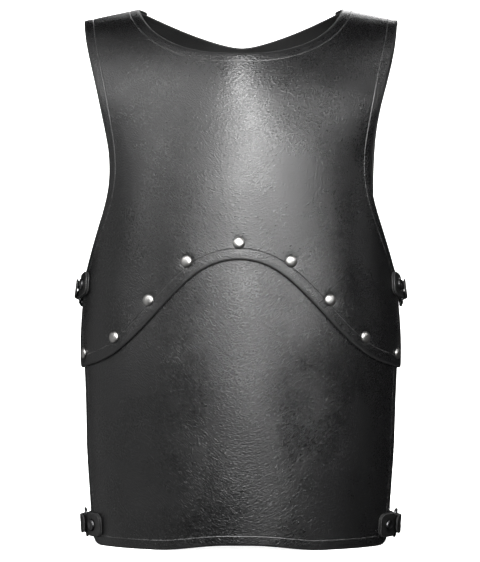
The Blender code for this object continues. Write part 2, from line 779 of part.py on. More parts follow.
def circle_part(centre, radius, start, end, count):
    turn = np.radians(np.linspace(start, end, count))
    return [(centre[0] + radius * math.cos(t), centre[1] + radius * math.sin(t)) for t in turn]


def chape_levels(level):
    """Offsets of the doubled tab: underside, slit and top, and the heel bar's middle."""
    base = FRONT_OUTER[level] + STRAP_LIFT
    return base, base + STRAP, base + STRAP + GAP, base + 2 * STRAP + GAP, base + STRAP + GAP / 2


def make_chape(level, shade):
    """Doubled tab riveted to the front plate and folded round the buckle's heel bar."""
    front, _, _ = FASTENINGS[level]
    under, slit_low, slit_high, top, middle = chape_levels(level)
    edge = front[0]
    bar = (edge + HEEL_AT, middle)
    eye = FRAME_WIRE + STRAP_LIFT
    outer = eye + STRAP
    end = edge - TAB_LENGTH
    beyond = end - SPARE
    swell = edge + HEEL_AT - outer * 1.55
    profile = [(a, under) for a in girth_stations(beyond, swell)]
    profile += circle_part(bar, outer, -118, 118, 7)
    profile += [(a, top) for a in girth_stations(swell, beyond)]
    profile += [(a, slit_high) for a in girth_stations(beyond, bar[0] - eye - 0.0004)]
    profile += circle_part(bar, eye, 172, -172, 8)
    profile += [(a, slit_low) for a in girth_stations(bar[0] - eye - 0.0004, beyond)]
    body = strip(profile, front[1], TAB_WIDTH / 2 + 0.002)
    half = TAB_WIDTH / 2
    neck = STRAP_WIDTH / 2
    tab = np.array([(end, -half), (edge - 0.001, -half), (edge + 0.006, -neck), (bar[0] + outer + 0.002, -neck)])
    lower = joined([np.array([(end, 0), (end, -half)]), tab[:2], tab[1:3], tab[2:]], [TAB_CORNER, 0, 0], 0.05, 2)
    loop = np.vstack([lower, lower[::-1][:-1] * (1, -1)]) + (0, front[1])
    hole = hole_loop(tab_rivet_spot(level))
    body = boolean(body, flat_prism([loop, hole], under - 0.01, top + 0.01), "INTERSECT")
    window = PRONG_WINDOW / 2
    near, past = eye + 2 * STRAP, outer + SPARE
    slot = np.array([(-near, -window), (past, -window), (past, window), (-near, window)]) + (bar[0], front[1])
    body = boolean(body, flat_prism([slot], under - 0.01, top + 0.01), "DIFFERENCE")
    bend_mesh(body, strap_bent, level)
    return settle(body, f"{level}_right_chape", shade)


def wire_object(points, radius, cyclic, corner_sides=1):
    """Round wire along a line of points, as a bevelled curve turned into a mesh."""
    curve = bpy.data.curves.new("wire", "CURVE")
    curve.dimensions = "3D"
    curve.bevel_depth = radius
    curve.bevel_resolution = corner_sides
    curve.use_fill_caps = not cyclic
    spline = curve.splines.new("POLY")
    spline.points.add(len(points) - 1)
    for point, place_ in zip(spline.points, points):
        point.co = (*place_, 1.0)
    spline.use_cyclic_u = cyclic
    holder = mesh_object("wire", curve)
    mesh = bpy.data.meshes.new_from_object(holder.evaluated_get(bpy.context.evaluated_depsgraph_get()))
    drop(holder)
    return mesh_object("wire", mesh)


def buckle_frame_matrix(level):
    """Matrix of the buckle: origin on the heel bar, X to the far bar, Y up, Z outwards."""
    front, _, _ = FASTENINGS[level]
    middle = chape_levels(level)[4]
    at, reach = front[0] + HEEL_AT, STRAP_WIDTH / 2
    far_at = front[0] + FAR_AT
    heel, far = strap_bent([(at, front[1], middle), (far_at, front[1], middle + FAR_LIFT[level])], level)
    above, below = strap_bent([(at, front[1] + reach, middle), (at, front[1] - reach, middle)], level)
    along = Vector(far - heel)
    long = along.length
    along.normalize()
    up = Vector(above - below)
    up = (up - along * up.dot(along)).normalized()
    turn = Matrix((along, up, along.cross(up))).transposed()
    return Matrix.Translation(Vector(heel)) @ turn.to_4x4(), long


def make_frame(level, shade):
    matrix, long = buckle_frame_matrix(level)
    half = FRAME_OUTER / 2 - FRAME_WIRE
    points = []
    corners = [((FRAME_CORNER, -half + FRAME_CORNER), 180), ((long - FRAME_CORNER, -half + FRAME_CORNER), 270)]
    corners += [((long - FRAME_CORNER, half - FRAME_CORNER), 0), ((FRAME_CORNER, half - FRAME_CORNER), 90)]
    for centre, start in corners:
        points += [(x, y, 0.0) for x, y in circle_part(centre, FRAME_CORNER, start, start + 90, 3)]
    item = wire_object(points, FRAME_WIRE, True)
    place(item, matrix)
    return settle(item, f"{level}_right_buckle", shade, smooth=True)


def make_prong(level, shade):
    """Wire hooked round the heel bar, its point lying on the far bar."""
    matrix, long = buckle_frame_matrix(level)
    wrap = FRAME_WIRE + GAP + PRONG_WIRE
    points = [(x, 0.0, z) for x, z in circle_part((0, 0), wrap, -20, -250, 8)]
    rest = FRAME_WIRE + GAP + PRONG_WIRE
    points.append((long, 0.0, rest + 0.0001))
    points.append((long + PRONG_TIP, 0.0, rest + 0.0004))
    item = wire_object(points, PRONG_WIRE, False)
    place(item, matrix)
    return settle(item, f"{level}_right_prong", shade, smooth=True)


def billet_way(level):
    """Middle line of the strap from the back plate, as (girth from the front edge, offset)."""
    _, _, gap = FASTENINGS[level]
    lying = -LAP_GAP + STRAP_LIFT + STRAP / 2
    middle = chape_levels(level)[4]
    far_under = middle + FAR_LIFT[level] - FRAME_WIRE - 5 * GAP - STRAP / 2
    over = middle + FRAME_WIRE + 2 * GAP + 2 * PRONG_WIRE + GAP + STRAP / 2
    leaves = max(gap - 0.001, FAR_AT + 0.0045)
    way = [(gap + BILLET_INTO_BACK + SPARE, lying), (gap + BILLET_INTO_BACK / 2, lying), (leaves, lying)]
    way += [(FAR_AT + 0.003, far_under - 0.0002), (FAR_AT - 0.0012, far_under), (HEEL_AT + 0.0045, over), (HEEL_AT - 0.003, over + 0.0001)]
    return way + [(BILLET_TAIL - SPARE, over - 0.0005)]


def make_billet(level, shade):
    """Strap riveted to the back plate, passed up through the buckle and over its heel bar."""
    _, back, gap = FASTENINGS[level]
    way = np.array(billet_way(level))
    round_back = back[0] + gap - way[:, 0]
    line = []
    for (a0, o0), (a1, o1) in zip(zip(round_back[:-1], way[:-1, 1]), zip(round_back[1:], way[1:, 1])):
        for a in girth_stations(a0, a1)[:-1]:
            line.append((a, o0 + (o1 - o0) * (a - a0) / (a1 - a0)))
    line.append((round_back[-1], way[-1, 1]))
    line = np.array(line)
    along = np.gradient(line, axis=0)
    along /= np.linalg.norm(along, axis=1)[:, None]
    square = np.column_stack([-along[:, 1], along[:, 0]]) * STRAP / 2
    body = strip(np.vstack([line - square, (line + square)[::-1]]), back[1], STRAP_WIDTH / 2 + 0.002)
    half = STRAP_WIDTH / 2
    start, stop = line[0, 0] + SPARE, line[-1, 0] - SPARE
    low = [np.array([(start, 0), (start, -half)]), np.array([(start, -half), (stop, -half)]), np.array([(stop, -half), (stop, 0)])]
    lower = joined(low, [0.005, 0.006], 0.02, 3)
    loop = np.vstack([lower, (lower[::-1] * (1, -1))[1:-1]]) + (0, back[1])
    hole = hole_loop(back - (BILLET_RIVET_IN, 0))
    near = back[0] + gap - HEEL_AT - 0.0013
    past = back[0] + gap - FAR_AT + 0.0051
    slit = PRONG_WIRE + PRONG_SPARE
    slot = np.array([(past, -slit), (near, -slit), (near, slit), (past, slit)]) + (0, back[1])
    body = boolean(body, flat_prism([loop, hole, slot], -0.02, 0.03), "INTERSECT")
    bend_mesh(body, strap_bent, level, True)
    return settle(body, f"{level}_right_billet", shade)


def mirror_part(item, name, shade):
    """Left-hand copy of a right-hand part."""
    mesh = item.data.copy()
    mesh.transform(Matrix.Diagonal((-1, 1, 1, 1)))
    mesh.flip_normals()
    return settle(mesh_object(name, mesh), name, shade, smooth=item.data.polygons[0].use_smooth)


clear_scene()
PARTS = bpy.data.collections.new(COLLECTION)
bpy.context.scene.collection.children.link(PARTS)
ROOT = bpy.data.objects.new("armour", None)
PARTS.objects.link(ROOT)

PLATE_LEATHER = {
    "breast_plate": material("breast_leather", (0.030, 0.030, 0.031), 0.38),
    "belly_plate": material("belly_leather", (0.028, 0.028, 0.029), 0.38),
    "back_plate": material("back_leather", (0.026, 0.026, 0.027), 0.45),
}
STRAP_LEATHER = material("strap_leather", (0.022, 0.022, 0.023), 0.42)
RIVET_METAL = material("rivet_metal", (0.78, 0.78, 0.76), 0.18, 1.0)
DARK_METAL = material("dark_metal", (0.16, 0.16, 0.16), 0.35, 1.0)


def on_both_sides(spots):
    return [(sign * a, b) for a, b in spots for sign in (1, -1)]


strap_half = SHOULDER_TIP - NECK_HALF_WIDTH
shoulder_spots = [(NECK_HALF_WIDTH + share * strap_half, RIDGE + SEAM_BEHIND) for share in SHOULDER_RIVETS]
seam_holes = [plate_hole(spot) for spot in on_both_sides(shoulder_spots)]
breast_holes = [plate_hole(spot) for spot in [*ARCH_RIVETS, *on_both_sides([tab_rivet_spot("upper")])]] + seam_holes
belly_holes = [plate_hole(spot) for spot in [*ARCH_RIVETS, *on_both_sides([tab_rivet_spot("lower")])]]
back_spots = on_both_sides([billet_rivet_spot("upper"), billet_rivet_spot("lower")])
back_holes = [plate_hole(spot) for spot in back_spots] + seam_holes
UNDER = (-LAP_GAP - PLATE, -LAP_GAP)

make_plate("breast_plate", breast_outline(), breast_holes, 0.0, PLATE, PLATE_LEATHER["breast_plate"])
make_plate("belly_plate", belly_outline(), belly_holes, *UNDER, PLATE_LEATHER["belly_plate"])
make_plate("back_plate", back_outline(), back_holes, *UNDER, PLATE_LEATHER["back_plate"])

for number, spot in enumerate(ARCH_RIVETS, 1):
    rivet(f"arch_rivet_{number}", spot, PLATE, UNDER[0], dome(RIVET_RADIUS, RIVET_DOME), RIVET_METAL)
for side, sign in SIDES:
    for number, (a, b) in enumerate(shoulder_spots, 1):
        top = low_dome(FLAT_RIVET_RADIUS, FLAT_RIVET_DOME)
        rivet(f"shoulder_rivet_{side}_{number}", (sign * a, b), PLATE, UNDER[0], top, RIVET_METAL)

for level in FASTENINGS:
    right = {
        "chape": (make_chape(level, STRAP_LEATHER), STRAP_LEATHER),
        "buckle": (make_frame(level, DARK_METAL), DARK_METAL),
        "prong": (make_prong(level, DARK_METAL), DARK_METAL),
        "billet": (make_billet(level, STRAP_LEATHER), STRAP_LEATHER),
    }
    tab_top = dish(TAB_RIVET_RADIUS, TAB_RIVET_RISE, TAB_RIVET_DISH)
    tab = rivet(f"{level}_right_tab_rivet", tab_rivet_spot(level), chape_levels(level)[3], FRONT_INNER[level], tab_top, DARK_METAL)
    right["tab_rivet"] = (tab, DARK_METAL)
    end_top = low_dome(FLAT_RIVET_RADIUS, FLAT_RIVET_DOME)
    end = rivet(f"{level}_right_billet_rivet", billet_rivet_spot(level), -LAP_GAP + STRAP_LIFT + STRAP, UNDER[0], end_top, DARK_METAL)
    right["billet_rivet"] = (end, DARK_METAL)
    for kind, (item, shade) in right.items():
        mirror_part(item, f"{level}_left_{kind}", shade)


def stand_on_origin():
    """Move everything so that the middle of the bounding box's base is the origin."""
    points = np.array([item.matrix_world @ v.co for item in PARTS.objects if item.type == "MESH" for v in item.data.vertices])
    low, high = points.min(0), points.max(0)
    ROOT.location = (-(low[0] + high[0]) / 2, -(low[1] + high[1]) / 2, -low[2])


stand_on_origin()
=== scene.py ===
"""Looks of the leather body armour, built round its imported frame.

The plates are cut flat from their patterns and bent over one smooth torso form, the same one that the
solids follow. A place on the form is given by a, the way round from the centre line, and b, the way up
the front from the hem, over the shoulder and down the back. Offsets are measured outwards from the
inner face of the breast plate. Metres, +Z up, the armour faces -Y and stands on its hem.
"""

import math

import bmesh
import bpy
import numpy as np
from mathutils import Matrix, Vector, geometry


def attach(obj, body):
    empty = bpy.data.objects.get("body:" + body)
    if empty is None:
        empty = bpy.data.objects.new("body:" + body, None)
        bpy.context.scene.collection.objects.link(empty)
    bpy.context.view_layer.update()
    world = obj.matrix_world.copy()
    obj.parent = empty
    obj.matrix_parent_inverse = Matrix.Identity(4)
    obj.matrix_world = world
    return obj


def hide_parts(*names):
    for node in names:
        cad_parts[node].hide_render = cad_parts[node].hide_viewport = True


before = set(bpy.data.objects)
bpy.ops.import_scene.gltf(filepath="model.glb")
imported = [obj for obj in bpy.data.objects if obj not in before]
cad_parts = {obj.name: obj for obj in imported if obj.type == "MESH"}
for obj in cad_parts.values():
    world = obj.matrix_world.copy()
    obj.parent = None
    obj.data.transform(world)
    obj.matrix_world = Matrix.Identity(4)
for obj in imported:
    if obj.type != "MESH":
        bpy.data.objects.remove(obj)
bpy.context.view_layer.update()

# torso form
HEIGHT = 0.587
HALF_WIDTH = 0.1745
FRONT_DEPTH = 0.122
BACK_DEPTH = 0.111
CREST = 0.006
CREST_SPREAD = 0.055
SHOULDER_SLOPE = 0.23
SHOULDER_ROUND = 0.060
SLOPE_FROM = 0.70
SLOPE_TO = 0.96

# leather
PLATE = 0.003
STRAP = 0.002
LAP_GAP = 0.0005
GAP = 0.0003
STRAP_LIFT = 0.0004

# breast plate, heights as drawn from the front
ARCH_TOP = 0.3025
ARCH_DROP = 0.1157
ARMHOLE_FOOT = 0.292
ARMHOLE_FRONT = 0.1373
ARMHOLE_BACK = 0.1462
NECK_HALF_WIDTH = 0.1085
NECK_FRONT = 0.1065
NECK_BACK = 0.0935
SHOULDER_TIP = 0.1690
ARCH_END_TURN = 76.5
ARCH_RISE_SHARE = 0.6
ARCH_CORNER_SHARE = 0.6
LEAD_RISE = 0.0015
FRONT_LEAD_TURN = 4
BACK_LEAD_TURN = 3
LAP_BEHIND = 0.021
LAP_BEFORE = 0.015
SEAM_INSET = 0.011
PLATE_CORNER = 0.007
STRAP_CORNER = 0.006

# belly plate
BELLY_LAP = 0.028
HEM_RISE = 0.006
HEM_RISE_REACH = 0.090
HEM_CORNER = 0.022
HEM_LEVEL_SHARE = 0.15
BELLY_TURN_IN = 1
BELLY_TURN_HEIGHT = 0.2

# rivets
RIVET_COUNT = 9
RIVET_INSET = 0.0178
RIVET_SIDE_INSET = 0.0143
RIVET_END = 0.0085
RIVET_RADIUS = 0.0060
RIVET_DOME = 0.0032
SHANK_RADIUS = 0.0017
HOLE_CLEARANCE = 0.0004
WASHER_RADIUS = 0.0036
WASHER = 0.0010
WASHER_GAP = 0.0007
WASHER_SOFT = 0.0003
CAP_SOFT = 0.0002
FLAT_RIVET_RADIUS = 0.0045
FLAT_RIVET_DOME = 0.0016
TAB_RIVET_RADIUS = 0.00675
TAB_RIVET_RISE = 0.0020
TAB_RIVET_DISH = 0.0012

# side fastenings, measured round the body from the front plate's side edge
UPPER_BELOW_ARMHOLE = 0.0155
LOWER_HEIGHT = 0.0215
UPPER_DIP = 12.0
TAB_LENGTH = 0.028
TAB_WIDTH = 0.025
TAB_RIVET_IN = 0.0155
TAB_END = 0.004
STRAP_WIDTH = 0.020
HEEL_AT = 0.0125
FRAME_LENGTH = 0.021
FRAME_WIRE = 0.0015
FRAME_SPARE = 0.0025
FRAME_CORNER = 0.0035
UPPER_FAR_LIFT = 0.0026
LOWER_FAR_LIFT = 0.0004
PRONG_WIRE = 0.0011
PRONG_SPARE = 0.0006
PRONG_TIP = 0.0045
BILLET_INTO_BACK = 0.026
BILLET_RIVET_IN = 0.013
BILLET_TAIL = 0.001

# visual mesh
FORM_SHIFT = (0.0, 0.00832, 0.0)
LOOP_STEP = 0.00145
INSIDE_STEP = 0.0037
ROW_SHARE = 0.866
HOLE_SIDES = 12
HOLE_SHARE = 0.93
LOOP_CLEAR = 0.00022
RING_CLEAR = 0.0012
GRID_CLEAR = 0.0014
HOLE_CLEAR = 0.0004
EDGE_CLEAR = 0.002
TRIM_CLEAR = 1e-5
HEM_SNAP = 1e-4
WELD = 1e-6
EDGE_LOOPS = (0.00035, 0.0009, 0.0017, 0.0027, 0.0043, 0.0062, 0.0081)
GROOVE_LOOPS = (-0.0012, -0.0007, -0.00035, 0.0, 0.00035, 0.0007, 0.0012, 0.0023)
EDGE_WIDE = 0.0022
EDGE_DEEP = 0.0014
UNDER_WIDE = 0.0010
UNDER_DEEP = 0.0006
EDGE_FADE = 0.0016
GROOVE_INSET = 0.0107
ARCH_GROOVE_INSET = 0.0117
GROOVE_WIDE = 0.00038
GROOVE_DEPTH = 0.00060
GROOVE_LIP = 0.00010
LIP_SPREAD = 2.6
BAND_RISE = 0.00012
SEAT_RINGS = ((0.0040, 12), (0.0058, 20), (0.0070, 24), (0.0086, 26))
SEAT_WIDE = 0.0073
SEAT_DEEP = 0.00070
RIBBON_ACROSS = 9
RIBBON_SOFT = 0.0008
ROUND_SIDES = 40
TAB_ROUND = 0.0085
STRAP_ROUND = 0.0075
CAP_SPREAD = 1.06
NECK_SOFT = 0.010
GRAIN_SLOPE = 1.1
GRAIN_TURN_WIDE = 0.045
GRAIN_STRETCH = 0.5
WAVES = (
    (0.00028, (4.1, 1.3, 2.2, 0.4)),
    (0.00024, (-3.0, 2.0, 5.3, 2.1)),
    (0.00018, (7.2, -1.1, -4.4, 4.0)),
    (0.00014, (6.1, 3.3, 9.5, 1.2)),
    (0.00010, (-11.8, 2.4, 6.7, 5.1)),
)

# looks: darker and lighter colour of each leather, the pale stitching's, which is partly a painted highlight
# for the groove's glints, and what dulls the sheen
PLATE_BLACK = ((0.0010, 0.0010, 0.0011), (0.0020, 0.0020, 0.0021))
STRAP_BLACK = ((0.0015, 0.0015, 0.0015), (0.0030, 0.0030, 0.0030))
INNER_BLACK = ((0.003, 0.003, 0.003), (0.006, 0.006, 0.006))
# pale stitching colour in the groove, lighter than the leather: partly a painted highlight standing in for
# the glints along the groove
THREAD_AND_GLINT_COLOUR = (0.036, 0.036, 0.036)
EDGE_PALER = 1.4
GROOVE_DULLER = 0.22
EDGE_DULLER = 0.45
PORE_DULLER = 0.03

# camera and lights
SENSOR = 36.0
IMAGE_HEIGHT = 562
FOCAL_PX = 2592
CAMERA_AWAY = 2.8
CAMERA_HEIGHT = 0.281
CAMERA_TURN = 1.0
CAMERA_ASIDE = 0.0009
FLOOR_GLOW = 0.85
FLOOR_FLAT = 3.7
FLOOR_BEND = 1.2
WALL_HEIGHT = 5.5
WORLD_GLOW = 0.02
LIGHT_TARGET = (0.0, 0.0, 0.30)
LIGHTS = (
    ("high_strip", "ELLIPSE", 3.0, 42.0, 2.3, (0.30, 1.05), 40.0, 19.0),
    ("front_box", "ELLIPSE", 2.0, 21.0, 2.2, (2.1, 1.15), 11.5, 8.0),
    ("low_box", "ELLIPSE", 4.0, 1.0, 2.3, (0.36, 0.60), 22.0, 0.0),
    ("right_strip", "ELLIPSE", 32.0, 14.0, 2.1, (1.35, 0.2), 29.0, 10.0),
    ("left_strip", "ELLIPSE", -47.0, 32.0, 2.2, (0.17, 2.0), 16.0, -28.0),
    ("high_left_box", "ELLIPSE", -46.0, 33.0, 2.3, (2.25, 2.9), 1.1, 32.0),
    ("high_right_strip", "ELLIPSE", 72.0, 32.0, 2.2, (1.7, 0.2), 9.0, 118.0),
    ("far_left_fill", "ELLIPSE", -82.0, -10.0, 2.2, (4.0, 4.0), 0.44, 0.0),
    ("back_box", "RECTANGLE", 176.0, 30.0, 2.4, (0.9, 2.2), 7.0, 0.0),
)

FAR_AT = HEEL_AT + FRAME_LENGTH
FRAME_OUTER = STRAP_WIDTH + 2 * (FRAME_SPARE + 2 * FRAME_WIRE)
TAB_RIVET_AT = TAB_RIVET_IN - TAB_LENGTH
SEAM_BEHIND = LAP_BEHIND - SEAM_INSET
HOLE_RADIUS = SHANK_RADIUS + HOLE_CLEARANCE
EDGE_STEP = 0.0014

# share of height, of half width, of front depth, of back depth, of crest
STATIONS = np.array(
    [
        (0.000, 0.942, 0.926, 0.937, 0.00),
        (0.100, 0.962, 0.956, 0.910, 0.00),
        (0.170, 0.978, 0.974, 0.895, 0.00),
        (0.255, 0.990, 0.990, 0.877, 0.00),
        (0.340, 0.993, 1.000, 0.865, 0.00),
        (0.430, 0.968, 1.000, 0.883, 0.00),
        (0.510, 0.937, 0.992, 0.928, 0.05),
        (0.580, 0.922, 0.975, 0.964, 0.15),
        (0.650, 0.918, 0.943, 0.991, 0.35),
        (0.710, 0.940, 0.893, 1.000, 0.60),
        (0.765, 1.003, 0.828, 0.970, 0.80),
        (0.820, 1.093, 0.750, 0.915, 1.00),
        (0.875, 1.166, 0.645, 0.810, 1.00),
        (0.925, 1.212, 0.510, 0.655, 0.80),
        (0.965, 1.238, 0.345, 0.450, 0.40),
        (0.990, 1.250, 0.175, 0.230, 0.10),
        (1.000, 1.255, 0.000, 0.000, 0.00),
    ]
)
# angle round the form in degrees, share of the arch's drop
ARCH_NEAR = [(-26, 0.36), (-15, 0.117), (0, 0), (15, 0.117), (26, 0.36)]
ARCH = np.array(ARCH_NEAR + [(37, 0.63), (50, 0.85), (66, 0.955), (80, 1)])
# share of height, angle round the form in degrees
FRONT_SIDE_LOW = [(0, 75.2), (0.17, 75.4), (0.255, 75.4)]
FRONT_SIDE = np.array(FRONT_SIDE_LOW + [(0.318, 77), (0.374, 79), (0.44, 82.5), (0.50, 86.5)])
BACK_SIDE = np.array([(0, 77.5), (0.17, 77), (0.34, 75), (0.50, 74)])
# share of the height from the armhole's foot to the shoulder, share of the width from its narrowest place
FRONT_ARMHOLE_LOW = np.array([(0.025, 0.888), (0.175, 0.416), (0.306, 0.059), (0.456, 0.0)])
FRONT_ARMHOLE_HIGH = np.array([(0.548, 0.123), (0.678, 0.369), (0.809, 0.644), (0.921, 0.871)])
BACK_ARMHOLE_LOW = np.array([(0.038, 0.513), (0.137, 0.176), (0.287, 0.0)])
BACK_ARMHOLE_HIGH = np.array([(0.436, 0.018), (0.568, 0.145), (0.667, 0.355), (0.752, 0.592), (0.902, 0.952)])
# share of the strap's width from the neck to the shoulder tip
SHOULDER_RIVETS = (0.29, 0.645)
NECK_FRONT_POWER = 2.15
NECK_BACK_POWER = 1.46

SIDES = (("right", 1), ("left", -1))


def natural_spline(knots, values):
    """Function through the rows of values, smooth in slope and in bend."""
    knots = np.asarray(knots, float)
    rows = np.asarray(values, float).reshape(len(knots), -1)
    count = len(knots)
    step = np.diff(knots)
    left = np.zeros((count, count))
    right = np.zeros_like(rows)
    left[0, 0] = 1
    left[-1, -1] = 1
    for i in range(1, count - 1):
        left[i, i - 1 : i + 2] = step[i - 1], 2 * (step[i - 1] + step[i]), step[i]
        right[i] = 6 * ((rows[i + 1] - rows[i]) / step[i] - (rows[i] - rows[i - 1]) / step[i - 1])
    bend = np.linalg.solve(left, right)

    def at(x):
        x = np.asarray(x, float)
        i = np.clip(np.searchsorted(knots, x) - 1, 0, count - 2)
        before = (x - knots[i])[..., None]
        after = (knots[i + 1] - x)[..., None]
        wide = step[i][..., None]
        curved = (bend[i] * after**3 + bend[i + 1] * before**3) / (6 * wide)
        low = (rows[i] / wide - bend[i] * wide / 6) * after
        high = (rows[i + 1] / wide - bend[i + 1] * wide / 6) * before
        return curved + low + high

    return at


def polyline_length(points):
    return np.concatenate([[0], np.cumsum(np.linalg.norm(np.diff(points, axis=0), axis=1))])


def at_lengths(points, at, length):
    """Places of a line where its running length has the values at."""
    return np.column_stack([np.interp(at, length, points[:, k]) for k in range(2)])


def eased(share):
    """Share from 0 to 1 that starts and ends level."""
    return share * share * (3 - 2 * share)


def make_profile():
    """Height, depth, half width and crest at every length along the centre line, and where the ridge is."""
    sizes = STATIONS * (HEIGHT, HALF_WIDTH, FRONT_DEPTH, BACK_DEPTH, CREST)
    up = np.column_stack([sizes[:, 0], -sizes[:, 2], sizes[:, 1], sizes[:, 4]])
    down = np.column_stack([sizes[:, 0], sizes[:, 3], sizes[:, 1], 0 * sizes[:, 4]])[::-1][1:]
    rows = np.vstack([up, down])
    knots = polyline_length(rows[:, :2])
    steps = np.linspace(0, knots[-1], 1201)
    dense = natural_spline(knots, rows)(steps)
    length = polyline_length(dense[:, :2])
    return length, dense, np.interp(knots[len(sizes) - 1], steps, length)


LENGTH, PROFILE, RIDGE = make_profile()
TOTAL = LENGTH[-1]
ANGLES = np.radians(np.linspace(0, 160, 161))


def station(b):
    return [np.interp(b, LENGTH, PROFILE[:, k]) for k in range(4)]


def far_depth(b, height):
    """Depth of the other half of the form at the same height."""
    front = LENGTH <= RIDGE
    back = np.interp(height, PROFILE[~front][::-1, 0], PROFILE[~front][::-1, 1])
    return np.where(b <= RIDGE, back, np.interp(height, PROFILE[front][:, 0], -PROFILE[front][:, 1]))


def section(b, angle):
    """Point of the form at length b and an angle round it."""
    height, depth, half_width, crest = station(b)
    x = half_width * np.sin(angle)
    near = depth * np.cos(angle) - crest * np.exp(-((x / CREST_SPREAD) ** 2))
    far = np.where(b <= RIDGE, -1, 1) * far_depth(b, height) * np.cos(angle)
    y = np.where(angle <= np.pi / 2, near, far)
    share = eased(np.clip((height / HEIGHT - SLOPE_FROM) / (SLOPE_TO - SLOPE_FROM), 0, 1))
    return x, y, height - SHOULDER_SLOPE * share * (np.hypot(x, SHOULDER_ROUND) - SHOULDER_ROUND)


def arcs(b):
    """Length round the form at every one of ANGLES, for each b."""
    x, y, _ = section(b[:, None], ANGLES[None, :])
    steps = np.hypot(np.diff(x, axis=1), np.diff(y, axis=1))
    return np.concatenate([np.zeros((len(b), 1)), np.cumsum(steps, axis=1)], axis=1)


TABLE_A = np.linspace(0, 0.345, 346)
TABLE_B = np.linspace(0, TOTAL, 700)
ANGLE_TABLE = np.array([np.interp(TABLE_A, row, ANGLES) for row in arcs(TABLE_B)])


def form_point(a, b):
    """Points of the form at pattern places, from the table of angles."""
    a, b = np.broadcast_arrays(np.atleast_1d(a).astype(float), np.atleast_1d(b).astype(float))
    across = np.clip(np.abs(a) / TABLE_A[1], 0, len(TABLE_A) - 1.001)
    up = np.clip(b / TABLE_B[1], 0, len(TABLE_B) - 1.001)
    i, j = across.astype(int), up.astype(int)
    s, t = across - i, up - j
    low = ANGLE_TABLE[j, i] * (1 - s) + ANGLE_TABLE[j, i + 1] * s
    high = ANGLE_TABLE[j + 1, i] * (1 - s) + ANGLE_TABLE[j + 1, i + 1] * s
    x, y, z = section(b, low * (1 - t) + high * t)
    return np.column_stack([np.where(a < 0, -x, x), y, z])


def pattern_point(height, angle=None, x=None, back=False):
    """Flat pattern place (a, b) of a height and either an angle or a half width."""
    low, high = (RIDGE, TOTAL) if back else (0.0, RIDGE)
    for _ in range(50):
        b = (low + high) / 2
        turn = angle if x is None else math.asin(min(1.0, x / float(station(b)[2])))
        if (float(section(np.array(b), turn)[2]) < height) != back:
            low = b
        else:
            high = b
    return np.array([np.interp(turn, ANGLES, arcs(np.array([b]))[0]), b])


def front_side_angle(height):
    return math.radians(float(natural_spline(FRONT_SIDE[:, 0] * HEIGHT, FRONT_SIDE[:, 1])(height)[0]))


def back_side_angle(height):
    return math.radians(float(natural_spline(BACK_SIDE[:, 0] * HEIGHT, BACK_SIDE[:, 1])(height)[0]))


def front_side(height):
    return pattern_point(height, angle=front_side_angle(height))


def back_side(height):
    return pattern_point(height, angle=back_side_angle(height), back=True)


def smooth_line(points, count=160):
    points = np.array(points)
    knots = polyline_length(points)
    return natural_spline(knots, points)(np.linspace(0, knots[-1], count))


def resample(points, step):
    length = polyline_length(points)
    count = max(1, round(length[-1] / step))
    return at_lengths(points, np.linspace(0, length[-1], count + 1), length)


def trimmed(points, start, end):
    """The line without its first and last stretches."""
    length = polyline_length(points)
    stop = length[-1] - end
    inner = length[(length > start + TRIM_CLEAR) & (length < stop - TRIM_CLEAR)]
    return at_lengths(points, np.concatenate([[start], inner, [stop]]), length)


def joined(lines, corners, step, turn_points=9):
    """One line out of several that meet end to end, each meeting rounded by its corner size."""
    out = []
    for i, line in enumerate(lines):
        start = corners[i - 1] if i > 0 else 0.0
        end = corners[i] if i < len(lines) - 1 else 0.0
        kept = resample(trimmed(line, start, end), step)
        if out and start > 0:
            before = out[-1]
            corner = line[0]
            for t in np.linspace(0, 1, turn_points + 2)[1:-1]:
                out.append((1 - t) ** 2 * before + 2 * t * (1 - t) * corner + t * t * kept[0])
        out.extend(kept if not out or start > 0 else kept[1:])
    return np.array(out)


def mirrored_outline(half):
    """Closed outline from a half that starts and ends on the centre line."""
    half = half.copy()
    half[0, 0] = 0.0
    half[-1, 0] = 0.0
    return np.vstack([half, half[-2:0:-1] * (-1, 1)])


def arch_line(rise=0.0, side_rise=None):
    """Lower edge of the breast plate from the centre to the side, moved up across the leather by a rise."""
    drop = natural_spline(ARCH[:, 0], ARCH[:, 1])
    points = []
    for angle in np.linspace(0, ARCH_END_TURN, 52):
        height = ARCH_TOP - ARCH_DROP * float(drop(angle)[0])
        points.append(pattern_point(height, angle=math.radians(angle)))
    line = np.array(points)
    side = front_side(line[-1, 1])
    along = np.gradient(line, axis=0)
    along /= np.linalg.norm(along, axis=1)[:, None]
    share = np.clip(line[:, 0] / line[-1, 0] / ARCH_RISE_SHARE, 0, 1)
    rises = rise + share * ((rise if side_rise is None else side_rise) - rise)
    moved = line + rises[:, None] * np.column_stack([-along[:, 1], along[:, 0]])
    moved = moved[moved[:, 0] < side[0] - EDGE_CLEAR]
    moved[0, 0] = 0.0
    return moved


def neck_line(front):
    """Half of the neck's edge, from the centre line out to the ridge."""
    turn = np.linspace(0, np.pi / 2, 60)
    if front:
        power = 2 / NECK_FRONT_POWER
        drop = NECK_FRONT * np.cos(turn) ** power
        return np.column_stack([NECK_HALF_WIDTH * np.sin(turn) ** power, RIDGE - drop])
    across = NECK_HALF_WIDTH * np.sin(turn) ** (2 / NECK_BACK_POWER)
    reach = (across / NECK_HALF_WIDTH) ** 2
    reach += (NECK_SOFT / NECK_HALF_WIDTH) ** 2 * (1 - reach)
    drop = np.maximum(1 - reach ** (NECK_BACK_POWER / 2), 0) ** (1 / NECK_BACK_POWER)
    return np.column_stack([across, RIDGE + NECK_BACK * drop])


